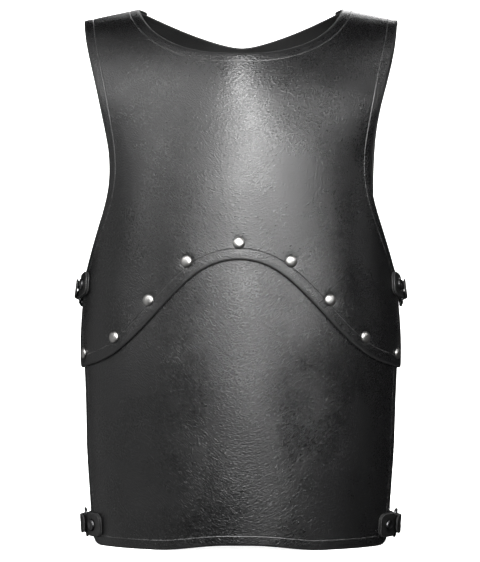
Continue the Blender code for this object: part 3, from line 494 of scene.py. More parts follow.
def armhole_points(low, high, narrowest, back):
    """Places up one armhole edge, from its foot towards the shoulder."""
    foot = (back_side if back else front_side)(ARMHOLE_FOOT)
    foot_x = float(form_point(foot[0], foot[1])[0, 0])
    rise = float(form_point(SHOULDER_TIP, RIDGE)[0, 2]) - ARMHOLE_FOOT
    places = [(t, narrowest + share * (foot_x - narrowest)) for t, share in low]
    places += [(t, narrowest + share * (SHOULDER_TIP - narrowest)) for t, share in high]
    return [pattern_point(ARMHOLE_FOOT + t * rise, x=x, back=back) for t, x in places]


def armhole_line():
    """Whole armhole edge from the front plate's side over the shoulder to the back plate's side."""
    lead = ARMHOLE_FOOT + LEAD_RISE
    front_turn = front_side_angle(ARMHOLE_FOOT) - math.radians(FRONT_LEAD_TURN)
    back_turn = back_side_angle(ARMHOLE_FOOT) - math.radians(BACK_LEAD_TURN)
    points = [front_side(ARMHOLE_FOOT), pattern_point(lead, angle=front_turn)]
    points += armhole_points(FRONT_ARMHOLE_LOW, FRONT_ARMHOLE_HIGH, ARMHOLE_FRONT, False)
    points.append(np.array([SHOULDER_TIP, RIDGE]))
    points += armhole_points(BACK_ARMHOLE_LOW, BACK_ARMHOLE_HIGH, ARMHOLE_BACK, True)[::-1]
    points += [pattern_point(lead, angle=back_turn, back=True), back_side(ARMHOLE_FOOT)]
    return smooth_line(points, 300)


def side_line(side, low, high, count=24):
    return np.array([side(height) for height in np.linspace(low, high, count)])


def breast_outline():
    arch = arch_line()
    low = float(form_point(*arch[-1:].T)[0, 2])
    arch = np.vstack([arch, front_side(low)])
    stop = RIDGE + LAP_BEHIND
    arm = armhole_line()
    arm = arm[arm[:, 1] < stop]
    arm_end = np.array([arm[-1, 0], stop])
    neck_back = neck_line(False)
    neck_end = np.array([np.interp(stop, neck_back[:, 1][::-1], neck_back[:, 0][::-1]), stop])
    over = neck_back[neck_back[:, 1] < stop][:-1]
    neck = np.vstack([neck_end, over, neck_line(True)[::-1]])
    side = side_line(front_side, low, ARMHOLE_FOOT)
    lines = [arch, side, np.vstack([arm, arm_end]), np.array([arm_end, neck_end]), neck]
    corners = [PLATE_CORNER * ARCH_CORNER_SHARE, PLATE_CORNER, STRAP_CORNER, STRAP_CORNER]
    return mirrored_outline(joined(lines, corners, EDGE_STEP))


def belly_outline():
    def side_place(height):
        turn_in = math.radians(BELLY_TURN_IN) * min(1, height / BELLY_TURN_HEIGHT)
        return pattern_point(height, angle=front_side_angle(height) - turn_in)

    top = arch_line(BELLY_LAP)
    high = float(form_point(*top[-1:].T)[0, 2])
    inner = pattern_point(high, angle=front_side_angle(high) - math.radians(BELLY_TURN_IN))
    top = np.vstack([top[top[:, 0] < inner[0] - EDGE_CLEAR], inner])
    side = side_line(side_place, 0, high)
    side[0, 1] = 0.0
    hem = [(0.0, HEM_RISE)]
    for way in np.linspace(0, 1, 9)[1:]:
        share = np.clip((way - HEM_LEVEL_SHARE) / (1 - HEM_LEVEL_SHARE), 0, 1)
        hem.append((way * HEM_RISE_REACH, HEM_RISE * (1 - eased(share))))
    hem = np.vstack([hem, side[0]])
    hem[-2, 1] = 0.0
    bottom = joined([hem[:9], hem[8:]], [0.0], EDGE_STEP)
    half = joined([bottom, side, top[::-1]], [HEM_CORNER, PLATE_CORNER], EDGE_STEP)
    half[np.abs(half[:, 1]) < HEM_SNAP, 1] = 0.0
    return mirrored_outline(half)


def back_outline():
    start = RIDGE - LAP_BEFORE
    neck_front = neck_line(True)
    neck_end = np.array([np.interp(start, neck_front[:, 1], neck_front[:, 0]), start])
    over = neck_front[neck_front[:, 1] > start]
    neck = np.vstack([neck_line(False), over[::-1][1:], neck_end])
    arm = armhole_line()
    arm = arm[arm[:, 1] > start]
    arm_end = np.array([arm[0, 0], start])
    side = side_line(back_side, ARMHOLE_FOOT, 0)
    side[-1, 1] = TOTAL
    hem = np.array([side[-1], (0.0, TOTAL)])
    lines = [neck, np.array([neck_end, arm_end]), np.vstack([arm_end, arm]), side, hem]
    half = joined(lines, [STRAP_CORNER, STRAP_CORNER, PLATE_CORNER, HEM_CORNER], EDGE_STEP)
    half[np.abs(half[:, 1] - TOTAL) < HEM_SNAP, 1] = TOTAL
    return mirrored_outline(half)


def arch_rivets():
    """Rivet places, evenly spaced along a line above the arched edge."""
    line = arch_line(RIVET_INSET, RIVET_SIDE_INSET)
    line = np.vstack([line[1:][::-1] * (-1, 1), line])
    length = polyline_length(line)
    spots = at_lengths(line, np.linspace(RIVET_END, length[-1] - RIVET_END, RIVET_COUNT), length)
    spots[np.abs(spots[:, 0]) < WELD, 0] = 0.0
    return spots


def fastening(height):
    """Where a fastening sits: the front edge, the back edge and the open girth between them."""
    front, back = front_side(height), back_side(height)
    halves = [np.interp(np.pi / 2, ANGLES, arcs(np.array([edge[1]]))[0]) for edge in (front, back)]
    return front, back, halves[0] + halves[1] - front[0] - back[0]


FASTENINGS = {"upper": fastening(ARMHOLE_FOOT - UPPER_BELOW_ARMHOLE), "lower": fastening(LOWER_HEIGHT)}
DIP = {"upper": math.radians(UPPER_DIP), "lower": 0.0}
FAR_LIFT = {"upper": UPPER_FAR_LIFT, "lower": LOWER_FAR_LIFT}
FRONT_OUTER = {"upper": PLATE, "lower": -LAP_GAP}
FRONT_INNER = {"upper": 0.0, "lower": -LAP_GAP - PLATE}
ARCH_RIVETS = arch_rivets()


def strap_anchor(level, back=False):
    """Place of the tab rivet, which a strap turns about, on the front pattern or carried on from the back."""
    front, rear, gap = FASTENINGS[level]
    return rear + (gap - TAB_RIVET_AT, 0) if back else front + (TAB_RIVET_AT, 0)


def strap_spot(level, a, back=False):
    """Pattern place of the strap's middle line at its own length a."""
    anchor = strap_anchor(level, back)
    way = np.asarray(a, float) - anchor[0]
    return anchor[0] + way * math.cos(DIP[level]), anchor[1] - way * math.sin(DIP[level])


def tab_rivet_spot(level):
    return strap_anchor(level)


def billet_rivet_spot(level):
    return np.array(strap_spot(level, FASTENINGS[level][1][0] - BILLET_RIVET_IN, True))


def waviness(points):
    """Slight unevenness of leather that was moulded by hand, in metres."""
    total = np.zeros(len(points))
    for amount, wave in WAVES:
        total += amount * np.sin(points @ np.array(wave[:3]) * 2 * np.pi + wave[3])
    return total


def surface(a, b):
    """Points and outward normals of the smooth form."""
    step = 0.002
    a, b = np.broadcast_arrays(np.atleast_1d(a).astype(float), np.atleast_1d(b).astype(float))
    inside = np.clip(b, step, TOTAL - step)
    round_way = form_point(a + step, inside) - form_point(a - step, inside)
    up_way = form_point(a, inside + step) - form_point(a, inside - step)
    normal = np.cross(round_way, up_way)
    normal /= np.linalg.norm(normal, axis=1)[:, None]
    return form_point(a, b), normal, round_way / (2 * step), up_way / (2 * step)


def raised(point, normal, offset):
    """Places at an offset from points of the form, in the frame's own place, none of them below the floor."""
    out = point + normal * (offset + waviness(point))[:, None]
    out[:, 2] = np.maximum(out[:, 2], 0.0)
    return out + FORM_SHIFT


def bent(places):
    """Points in space of pattern places (a, b, offset)."""
    a, b, offset = np.asarray(places, float).reshape(-1, 3).T
    point, normal, _, _ = surface(a, b)
    return raised(point, normal, offset)


def strap_bent(places, level, back=False):
    """As bent, for a strap that lies straight across and runs down from its tab rivet by the dip."""
    a, b, offset = np.asarray(places, float).reshape(-1, 3).T
    way_a, way_b = strap_spot(level, a, back)
    point, out, _, _ = surface(way_a, way_b)
    up = (0, 0, 1) - out * out[:, 2:]
    up /= np.linalg.norm(up, axis=1)[:, None]
    across = up * math.cos(DIP[level]) + np.cross(up, out) * math.sin(DIP[level])
    reach = (b - strap_anchor(level, back)[1]) * (-1 if back else 1)
    return point + out * (offset + waviness(point))[:, None] + across * reach[:, None] + FORM_SHIFT


def mesh_object(name, mesh, materials):
    item = bpy.data.objects.new(name, mesh)
    bpy.context.scene.collection.objects.link(item)
    for shade in materials:
        mesh.materials.append(shade)
    return item


def bmesh_of(mesh):
    work = bmesh.new()
    work.from_mesh(mesh)
    return work


def write_back(work, mesh, weld=False, smooth=True):
    """Turn a bmesh's faces outwards, shade them smooth and write it to its mesh."""
    if weld:
        bmesh.ops.remove_doubles(work, verts=work.verts, dist=WELD)
    bmesh.ops.recalc_face_normals(work, faces=work.faces)
    if smooth:
        for face in work.faces:
            face.smooth = True
    work.to_mesh(mesh)
    work.free()


def add_attribute(mesh, label, values):
    store = mesh.attributes.new(label, "FLOAT", "POINT")
    store.data.foreach_set("value", values.astype(np.float32))


def finished(item, slot, *nodes):
    """Set a piece on the frame in place of its solids."""
    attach(item, "root")
    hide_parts(*nodes)
    return item


def even_loop(loop, step):
    """Closed pattern line with its places evenly spaced once bent."""
    closed = np.vstack([loop, loop[:1]])
    length = polyline_length(form_point(*closed.T))
    count = round(length[-1] / step / 2) * 2
    return at_lengths(closed, np.linspace(0, length[-1], count + 1)[:-1], length)


def inward(loop):
    """Pattern directions into the leather, one metre long once bent, at places of a closed line."""
    along = np.roll(loop, -1, axis=0) - np.roll(loop, 1, axis=0)
    _, _, way_a, way_b = surface(*loop.T)
    aa = np.einsum("ij,ij->i", way_a, way_a)
    ab = np.einsum("ij,ij->i", way_a, way_b)
    bb = np.einsum("ij,ij->i", way_b, way_b)
    area = aa * bb - ab * ab
    flat_a, flat_b = -along[:, 1], along[:, 0]
    go = np.column_stack([(bb * flat_a - ab * flat_b) / area, (aa * flat_b - ab * flat_a) / area])
    size = np.sqrt(flat_a * go[:, 0] + flat_b * go[:, 1])
    turn = np.sum(loop[:, 0] * np.roll(loop[:, 1], -1) - np.roll(loop[:, 0], -1) * loop[:, 1])
    return go / size[:, None] * (1 if turn > 0 else -1)


def nearest(points, targets):
    """Distance from each point to the nearest target, and which target it is."""
    distance = np.empty(len(points))
    which = np.empty(len(points), int)
    for start in range(0, len(points), 2000):
        part = points[start : start + 2000]
        gaps = np.linalg.norm(part[:, None, :] - targets[None, :, :], axis=2)
        which[start : start + 2000] = gaps.argmin(1)
        distance[start : start + 2000] = gaps.min(1)
    return distance, which


def inside_loop(places, loop):
    a, b = places.T
    inside = np.zeros(len(places), bool)
    for (a0, b0), (a1, b1) in zip(loop, np.roll(loop, -1, axis=0)):
        crossing = (b0 > b) != (b1 > b)
        with np.errstate(divide="ignore", invalid="ignore"):
            inside ^= crossing & (a < (a1 - a0) * (b - b0) / (b1 - b0) + a0)
    return inside


def ring_places(spot, radius, count, shift=0.0):
    """Pattern places on a circle round a spot, a true circle once bent."""
    _, _, way_a, way_b = surface(*spot)
    wide, tall = np.linalg.norm(way_a), np.linalg.norm(way_b)
    turn = (np.arange(count) + shift) * 2 * np.pi / count
    return np.column_stack([spot[0] + radius * np.cos(turn) / wide, spot[1] + radius * np.sin(turn) / tall])


def grid_places(loop, spots):
    """Even pattern places inside a closed line, with rings of places round every rivet."""
    low, high = loop.min(0), loop.max(0)
    grid = []
    for row, b in enumerate(np.arange(low[1], high[1], INSIDE_STEP * ROW_SHARE)):
        shift = INSIDE_STEP / 2 if row % 2 else 0
        grid += [(a + shift, b) for a in np.arange(low[0], high[0], INSIDE_STEP)]
    grid = np.array(grid)
    rings = [ring_places(spot, radius, count, 0.5) for spot in spots for radius, count in SEAT_RINGS]
    gap, _ = nearest(form_point(*grid.T), form_point(*np.array(spots).T))
    grid = np.vstack([grid[gap > SEAT_RINGS[-1][0] + RING_CLEAR], *rings])
    return grid[inside_loop(grid, loop)]


def point_rows(places, distance, prick, inset):
    """Rows of pattern place, distance from the cut edge, share of a stitch hole and inset of the groove."""
    rows = np.empty((len(places), 5))
    rows[:, :2] = places
    rows[:, 2], rows[:, 3], rows[:, 4] = distance, prick, inset
    return rows


def plate_rows(outline, inset, spots):
    """Point rows of one plate, how many of them lie on its cut edge, and those round each hole."""
    loop = even_loop(outline, LOOP_STEP)
    edge_points = form_point(*loop.T)
    insets = inset(loop)
    go = inward(loop)
    prick = 0.5 + 0.5 * np.cos(np.arange(len(loop)) * np.pi)
    rows = [point_rows(loop, 0.0, 0.0, insets)]
    offsets = [np.full(len(loop), d) for d in EDGE_LOOPS] + [insets + d for d in GROOVE_LOOPS]
    for offset in offsets:
        line = loop + go * offset[:, None]
        gap, _ = nearest(form_point(*line.T), edge_points)
        kept = (gap > offset - LOOP_CLEAR) & inside_loop(line, loop)
        rows.append(point_rows(line, offset, prick, insets)[kept])
    grid = grid_places(loop, spots)
    gap, which = nearest(form_point(*grid.T), edge_points)
    kept = gap > insets[which] + GROOVE_LOOPS[-1] + GRID_CLEAR
    rows.append(point_rows(grid, gap, 1.0, insets[which])[kept])
    rows = np.vstack(rows)
    gap, _ = nearest(form_point(*rows[:, :2].T), form_point(*np.array(spots).T))
    kept = gap > HOLE_RADIUS + HOLE_CLEAR
    kept[: len(loop)] = True
    rows = rows[kept]
    holes = []
    for spot in spots:
        hole = ring_places(spot, HOLE_RADIUS, HOLE_SIDES)
        gap, which = nearest(form_point(*hole.T), edge_points)
        holes.append(range(len(rows), len(rows) + HOLE_SIDES))
        rows = np.vstack([rows, point_rows(hole, gap, 1.0, insets[which])])
    return rows, len(loop), holes


def edge_drop(distance, wide, deep):
    """How far the leather's face falls away towards its rounded cut edge."""
    share = np.clip(1 - distance / wide, 0, 1)
    return deep * (1 - np.sqrt(1 - share * share))


def plate_triangles(rows, rim, holes, spot_points):
    """Triangles between the rows, none outside the plate or across a hole, all turned the same way."""
    edges = [(i, (i + 1) % rim) for i in range(rim)]
    for hole in holes:
        edges += [(hole[i], hole[(i + 1) % HOLE_SIDES]) for i in range(HOLE_SIDES)]
    made = geometry.delaunay_2d_cdt([Vector(p) for p in rows[:, :2]], edges, [], 0, 1e-7, True)
    flat = np.array([list(v) for v in made[0]])
    origin = np.array([ids[0] if ids else -1 for ids in made[3]])
    assert (origin >= 0).all()
    triangles = np.array(made[2])
    triangles = triangles[inside_loop(flat[triangles].mean(1), rows[:rim, :2])]
    gap, _ = nearest(form_point(*flat[triangles].mean(1).T), spot_points)
    triangles = triangles[gap > HOLE_RADIUS * HOLE_SHARE]
    a, b, c = (flat[triangles[:, k]] for k in range(3))
    wind = (b[:, 0] - a[:, 0]) * (c[:, 1] - a[:, 1]) - (b[:, 1] - a[:, 1]) * (c[:, 0] - a[:, 0])
    return flat, origin, np.where(wind[:, None] > 0, triangles, triangles[:, ::-1])


def open_sides(triangles):
    """Sides that only one triangle has, in the order in which they come."""
    sides = {}
    for tri in triangles.tolist():
        for pair in zip(tri, tri[1:] + tri[:1]):
            if pair[::-1] in sides:
                del sides[pair[::-1]]
            else:
                sides[pair] = True
    return list(sides)


def make_plate(name, outline, inset, spots, low, high, band, materials, slot):
    """A plate with rounded cut edges, a tooled groove and a real underside."""
    rows, rim, holes = plate_rows(outline, inset, spots)
    spot_points = form_point(*np.array(spots).T)
    flat, origin, triangles = plate_triangles(rows, rim, holes, spot_points)
    distance, prick, insets = rows[origin, 2:].T
    groove = np.exp(-(((distance - insets) / GROOVE_WIDE) ** 2))
    lips = np.exp(-(((distance - insets) / (GROOVE_WIDE * LIP_SPREAD)) ** 2)) - groove
    along = np.clip(distance / insets, 0, 1)
    depth = GROOVE_DEPTH * (0.6 + 0.4 * prick)
    rise = band * np.sin(np.pi * along) ** 2 - depth * groove + GROOVE_LIP * lips
    rise -= edge_drop(distance, EDGE_WIDE, EDGE_DEEP)
    gap, _ = nearest(form_point(*flat.T), spot_points)
    rise -= SEAT_DEEP * np.exp(-((gap / SEAT_WIDE) ** 4))
    point, normal, _, _ = surface(*flat.T)
    top = raised(point, normal, high + rise)
    under = raised(point, normal, low + edge_drop(distance, UNDER_WIDE, UNDER_DEEP))
    count = len(flat)
    walls = open_sides(triangles)
    middle_of = {}
    for pair in walls:
        for i in pair:
            middle_of.setdefault(i, 2 * count + len(middle_of))
    ids = list(middle_of)
    verts = np.vstack([top, under, (top[ids] + under[ids]) / 2])
    faces = triangles.tolist() + (triangles[:, ::-1] + count).tolist()
    for i, j in walls:
        faces.append((j, i, middle_of[i], middle_of[j]))
        faces.append((middle_of[j], middle_of[i], i + count, j + count))
    mesh = bpy.data.meshes.new(name)
    mesh.from_pydata(verts.tolist(), [], faces)
    mesh.update()
    item = mesh_object(f"{name}_leather", mesh, materials)
    shade = np.zeros(len(faces), np.int32)
    shade[len(triangles) : 2 * len(triangles)] = 1
    mesh.polygons.foreach_set("material_index", shade)
    mesh.polygons.foreach_set("use_smooth", np.ones(len(faces), bool))
    # share of the pale stitching colour along the groove, partly a painted highlight for the groove's glints;
    # it also dulls the sheen there
    thread_and_glint = groove * (0.45 + 0.55 * prick)
    near_edge = np.exp(-((distance / EDGE_FADE) ** 2))
    for label, values, rest in (("groove", thread_and_glint, 0.0), ("cut_edge", near_edge, 1.0)):
        add_attribute(mesh, label, np.concatenate([values, values, np.full(len(ids), rest)]))
    return finished(item, slot, name)


def ribbon(name, path, widths, place, shade):
    """Strap leather with rounded sides, along a path of (a, offset) with a half width at every place."""
    along = np.gradient(path, axis=0)
    along /= np.linalg.norm(along, axis=1)[:, None]
    square = np.column_stack([-along[:, 1], along[:, 0]])
    half = STRAP / 2
    soft = RIBBON_SOFT
    ring = []
    across = np.linspace(-1, 1, RIBBON_ACROSS)
    for side, face, start in ((1, 1, 0), (-1, 1, 90), (-1, -1, 180), (1, -1, 270)):
        for turn in np.radians(np.linspace(start, start + 90, 4)):
            ring.append((side, soft * (math.cos(turn) - side), face * half + soft * (math.sin(turn) - face)))
        if side == face:
            ring += [(-side * s, 0.0, face * half) for s in across[1:-1]]
    ring = np.array(ring)
    length = polyline_length(path)
    total, n = len(path), len(ring)
    verts = []
    for i in range(total):
        left = min(length[i], length[-1] - length[i])
        thin = 1 - 0.35 * max(0.0, 1 - left / RIBBON_SOFT) ** 2
        spot = path[i] + square[i] * (ring[:, 2] * thin)[:, None]
        verts.append(np.column_stack([spot[:, 0], ring[:, 0] * widths[i] + ring[:, 1], spot[:, 1]]))
    faces = []
    for i in range(total - 1):
        for j in range(n):
            k = (j + 1) % n
            faces.append((i * n + j, i * n + k, (i + 1) * n + k, (i + 1) * n + j))
    faces.append(tuple(range(n))[::-1])
    faces.append(tuple((total - 1) * n + j for j in range(n)))
    mesh = bpy.data.meshes.new(name)
    mesh.from_pydata(place(np.vstack(verts)).tolist(), [], faces)
    write_back(bmesh_of(mesh), mesh)
    item = mesh_object(name, mesh, [shade])
    edge = np.where(np.abs(np.abs(ring[:, 2]) - half) < WELD, 0.0, 1.0)
    add_attribute(mesh, "cut_edge", np.tile(edge, total))
    return item


def turned(name, profile, sides, shade):
    """Solid turned about +Z from (radius, height) places that run down its outer side."""
    work = bmesh.new()
    spots = [work.verts.new((radius, 0, height)) for radius, height in profile]
    for upper, lower in zip(spots[:-1], spots[1:]):
        work.edges.new((upper, lower))
    line = [*work.verts, *work.edges]
    whole = 2 * math.pi
    bmesh.ops.spin(work, geom=line, cent=(0, 0, 0), axis=(0, 0, 1), angle=whole, steps=sides, use_merge=True)
    mesh = bpy.data.meshes.new(name)
    write_back(work, mesh, weld=True)
    return mesh_object(name, mesh, [shade])


def local_frame(a, b, offset):
    """Matrix whose X runs round the form, Y up it and Z outwards, at a place of the pattern."""
    step = 0.0025
    moves = ((0, 0), (step, 0), (-step, 0), (0, step), (0, -step))
    origin, right, left, above, below = bent([(a + da, b + db, offset) for da, db in moves])
    across, up = Vector(right - left), Vector(above - below)
    out = across.cross(up).normalized()
    up = (up - out * up.dot(out)).normalized()
    return Matrix.Translation(Vector(origin)) @ Matrix((up.cross(out), up, out)).transposed().to_4x4()


def spherical(radius, rise, lip, count=12):
    """Profile of a domed cap with a short upright lip."""
    out = []
    for turn in np.linspace(0, math.pi / 2, count):
        out.append((radius * math.sin(turn), lip + (rise - lip) * (1 - math.sin(turn) ** 2.6) ** 0.62))
    return out + [(radius, lip * 0.35), (radius - CAP_SOFT, 0.0)]


def dished(radius, rise, depth):
    """Profile of a cap with a raised ring and a hollow middle."""
    inner = [(0, 0), (0.20, 0.02), (0.34, 0.14), (0.44, 0.45), (0.52, 0.80), (0.60, 0.96)]
    inner += [(0.68, 1.0), (0.76, 0.95)]
    outer = ((0.86, 0.78), (0.94, 0.52), (0.985, 0.28), (1, 0.10))
    out = [(radius * r, rise - depth * (1 - h)) for r, h in inner]
    return out + [(radius * r, rise * h) for r, h in outer] + [(radius - CAP_SOFT, 0.0)]


def rivet(name, spot, outer, inner, cap, shade, slot, lean=(0.0, 0.0)):
    """One rivet: its cap outside, its shank through the leather and a washer inside."""
    near = inner - WASHER_GAP
    far = near - WASHER
    profile = [(radius, outer + height) for radius, height in cap]
    profile += [(SHANK_RADIUS, outer), (SHANK_RADIUS, near), (WASHER_RADIUS - CAP_SOFT, near)]
    profile += [(WASHER_RADIUS, near - CAP_SOFT), (WASHER_RADIUS, far + CAP_SOFT)]
    profile += [(WASHER_RADIUS - WASHER_SOFT, far), (0, far)]
    item = turned(f"{name}_cap", profile, ROUND_SIDES, shade)
    lift, drop = Matrix.Translation((0, 0, outer)), Matrix.Translation((0, 0, -outer))
    tilt = lift @ Matrix.Rotation(lean[0], 4, "X") @ Matrix.Rotation(lean[1], 4, "Y") @ drop
    item.data.transform(local_frame(spot[0], spot[1], 0.0) @ tilt)
    return finished(item, slot, name)


def chape_levels(level):
    """Offsets of the doubled tab: underside, slit and top, and the heel bar's middle."""
    base = FRONT_OUTER[level] + STRAP_LIFT
    return base, base + STRAP, base + STRAP + GAP, base + 2 * STRAP + GAP, base + STRAP + GAP / 2


def round_end(ends, radius):
    """Share of a corner radius that a strap's end takes off its half width."""
    share = np.clip(ends / radius, 0, 1)
    return radius * (1 - np.sqrt(1 - (1 - share) ** 2))


def tab_half_width(length, way, total, fold):
    """Half width of the tab: rounded at both ends, narrowed to the strap's width at the fold."""
    half, neck = TAB_WIDTH / 2, STRAP_WIDTH / 2
    wide = half + (neck - half) * eased(np.clip((way - (total - 0.001)) / 0.007, 0, 1))
    return wide - round_end(np.minimum(length, fold - length), TAB_ROUND) * 0.92


def circle_part(centre, radius, start, end, count):
    turn = np.radians(np.linspace(start, end, count))
    return [(centre[0] + radius * math.cos(t), centre[1] + radius * math.sin(t)) for t in turn]


def softened(path, rounds):
    """A path with its bends eased, its ends kept."""
    for _ in range(rounds):
        path[1:-1] = path[1:-1] * 0.5 + (path[:-2] + path[2:]) * 0.25
    return path


def strap_placer(level, b, back=False):
    """Function that bends a strap's own (a, b, offset) places, its middle line at b."""

    def place(flat):
        moved = np.array(flat, float)
        moved[:, 1] += b
        return strap_bent(moved, level, back)

    return place


def cut_slot(item, start, end, half, bend, low, high):
    """Cut a slot through a strap, its ends and half width given in the strap's own (a, b)."""
    corners = [(start, -half), (end, -half), (end, half), (start, half)]
    flat = [(a, b, o) for o in (low, high) for a, b in corners]
    mesh = bpy.data.meshes.new("slot")
    faces = [(3, 2, 1, 0), (4, 5, 6, 7)] + [(i, (i + 1) % 4, (i + 1) % 4 + 4, i + 4) for i in range(4)]
    mesh.from_pydata(bend(flat).tolist(), [], faces)
    write_back(bmesh_of(mesh), mesh, smooth=False)
    tool = mesh_object("slot", mesh, [])
    cut = item.modifiers.new("cut", "BOOLEAN")
    cut.operation = "DIFFERENCE"
    cut.solver = "EXACT"
    cut.object = tool
    new = bpy.data.meshes.new_from_object(item.evaluated_get(bpy.context.evaluated_depsgraph_get()))
    old = item.data
    item.modifiers.clear()
    item.data = new
    bpy.data.meshes.remove(old)
    bpy.data.objects.remove(tool, do_unlink=True)
    bpy.data.meshes.remove(mesh)


def make_chape(level, shade):
    """Doubled tab riveted to the front plate and folded round the buckle's heel bar."""
    front = FASTENINGS[level][0]
    under, _, _, top, middle = chape_levels(level)
    bar = (front[0] + HEEL_AT, middle)
    lower, upper = under + STRAP / 2, top - STRAP / 2
    fold = FRAME_WIRE + STRAP_LIFT + STRAP / 2
    swell = bar[0] - fold * 1.6
    end = front[0] - TAB_LENGTH
    path = [(a, lower) for a in np.linspace(end, swell, 36)[:-1]]
    path += circle_part(bar, fold, -118, 118, 22)
    path += [(a, upper) for a in np.linspace(swell, end, 36)[1:]]
    path = np.array(path)
    length = polyline_length(path)
    total = length[-1]
    fine = [np.linspace(0, TAB_END, 9)[:-1], np.linspace(TAB_END, total - TAB_END, 96)]
    fine = np.concatenate([*fine, np.linspace(total - TAB_END, total, 9)[1:]])
    path = softened(at_lengths(path, fine, length), 3)
    widths = tab_half_width(fine, path[:, 0], front[0], fine[-1])
    place = strap_placer(level, front[1])
    item = ribbon(f"{level}_right_tab", path, widths, place, shade)
    slit = PRONG_WIRE + PRONG_SPARE + 0.0004
    near, past = FRAME_WIRE + 0.0010, fold + STRAP
    cut_slot(item, bar[0] - near, bar[0] + past, slit, place, middle - 0.0004, top + 0.006)
    return item


def buckle_matrix(level):
    """Matrix of the buckle: origin on the heel bar, X to the far bar, Y up, Z outwards."""
    front = FASTENINGS[level][0]
    middle = chape_levels(level)[4]
    at, reach = front[0] + HEEL_AT, STRAP_WIDTH / 2
    far_bar = (front[0] + FAR_AT, front[1], middle + FAR_LIFT[level])
    heel, far = strap_bent([(at, front[1], middle), far_bar], level)
    above, below = strap_bent([(at, front[1] + reach, middle), (at, front[1] - reach, middle)], level)
    along = Vector(far - heel)
    long = along.length
    along.normalize()
    up = Vector(above - below)
    up = (up - along * up.dot(along)).normalized()
    turn = Matrix((along, up, along.cross(up))).transposed()
    return Matrix.Translation(Vector(heel)) @ turn.to_4x4(), long


def wire(name, points, radius, cyclic, shade, sizes=None):
    """Round wire along a line of points, thinner where its sizes say."""
    curve = bpy.data.curves.new(name, "CURVE")
    curve.dimensions = "3D"
    curve.bevel_depth = radius
    curve.bevel_resolution = 5
    curve.use_fill_caps = not cyclic
    spline = curve.splines.new("POLY")
    spline.points.add(len(points) - 1)
    for i, (point, place) in enumerate(zip(spline.points, points)):
        point.co = (*place, 1.0)
        point.radius = 1.0 if sizes is None else sizes[i]
    spline.use_cyclic_u = cyclic
    holder = bpy.data.objects.new(name, curve)
    bpy.context.scene.collection.objects.link(holder)
    mesh = bpy.data.meshes.new_from_object(holder.evaluated_get(bpy.context.evaluated_depsgraph_get()))
    bpy.data.objects.remove(holder, do_unlink=True)
    bpy.data.curves.remove(curve)
    write_back(bmesh_of(mesh), mesh, weld=True)
    mesh.materials.clear()
    return mesh_object(name, mesh, [shade])


def make_buckle(level, shade):
    """Round wire frame with four rounded corners."""
    matrix, long = buckle_matrix(level)
    corner = FRAME_CORNER
    side = FRAME_OUTER / 2 - FRAME_WIRE - corner
    far = long - corner
    points = []
    for x, y, start in ((corner, -side, 180), (far, -side, 270), (far, side, 0), (corner, side, 90)):
        points += [(*place, 0.0) for place in circle_part((x, y), corner, start, start + 90, 9)]
    item = wire(f"{level}_right_frame", points, FRAME_WIRE, True, shade)
    item.data.transform(matrix)
    return item


def make_prong(level, shade):
    """Wire hooked round the heel bar, its point lying on the far bar."""
    matrix, long = buckle_matrix(level)
    wrap = FRAME_WIRE + GAP + PRONG_WIRE
    points = [(x, 0.0, z) for x, z in circle_part((0, 0), wrap, 0, -262, 22)]
    reach = np.linspace(0.0012, long + PRONG_TIP, 14)
    points += [(x, 0.0, wrap + 0.0003 * math.sin(x * 180)) for x in reach]
    sizes = [1.0] * (len(points) - 5) + [0.97, 0.92, 0.84, 0.70, 0.42]
    item = wire(f"{level}_right_pin", points, PRONG_WIRE, False, shade, sizes)
    item.data.transform(matrix)
    return item


def make_billet(level, shade):
    """Strap riveted to the back plate, passed up through the buckle and over its heel bar."""
    _, back, gap = FASTENINGS[level]
    lying = -LAP_GAP + STRAP_LIFT + STRAP / 2
    middle = chape_levels(level)[4]
    far_under = middle + FAR_LIFT[level] - FRAME_WIRE - 3 * GAP - STRAP / 2
    over = middle + FRAME_WIRE + 2 * GAP + 2 * PRONG_WIRE + GAP + STRAP / 2
    way = [(gap + BILLET_INTO_BACK, lying), (gap + BILLET_INTO_BACK / 2, lying)]
    way += [(max(gap + 0.002, FAR_AT + 0.0055), lying), (FAR_AT + 0.004, far_under - 0.0002)]
    way += [(FAR_AT - 0.001, far_under), (HEEL_AT + 0.0045, over), (HEEL_AT - 0.003, over + 0.0001)]
    way = np.array([*way, (BILLET_TAIL, over - 0.0005)])
    rough = np.column_stack([back[0] + gap - way[:, 0], way[:, 1]])
    length = polyline_length(rough)
    fine = np.linspace(0, length[-1], 130)
    path = softened(at_lengths(rough, fine, length), 6)
    widths = STRAP_WIDTH / 2 - round_end(np.minimum(fine, fine[-1] - fine), STRAP_ROUND) * 0.9
    place = strap_placer(level, back[1], True)
    item = ribbon(f"{level}_right_strap", path, widths, place, shade)
    near = back[0] + gap - HEEL_AT - 0.0013
    past = back[0] + gap - FAR_AT + 0.0051
    cut_slot(item, past, near, PRONG_WIRE + PRONG_SPARE, place, -0.012, 0.022)
    return item


def mirrored(item, name):
    """Left-hand copy of a right-hand piece."""
    mesh = item.data.copy()
    mesh.transform(Matrix.Diagonal((-1, 1, 1, 1)))
    mesh.flip_normals()
    mesh.name = name
    return mesh_object(name, mesh, [])


def node(tree, kind, inputs=None, **settings):
    made = tree.nodes.new(kind)
    for key, value in settings.items():
        setattr(made, key, value)
    for key, value in (inputs or {}).items():
        if isinstance(value, bpy.types.NodeSocket):
            tree.links.new(value, made.inputs[key])
        else:
            made.inputs[key].default_value = value
    return made


def new_material(name):
    """A new material, its tree, its shader and the place on the piece."""
    made = bpy.data.materials.new(name)
    made.use_nodes = True
    tree = made.node_tree
    return made, tree, tree.nodes["Principled BSDF"], node(tree, "ShaderNodeTexCoord").outputs["Object"]


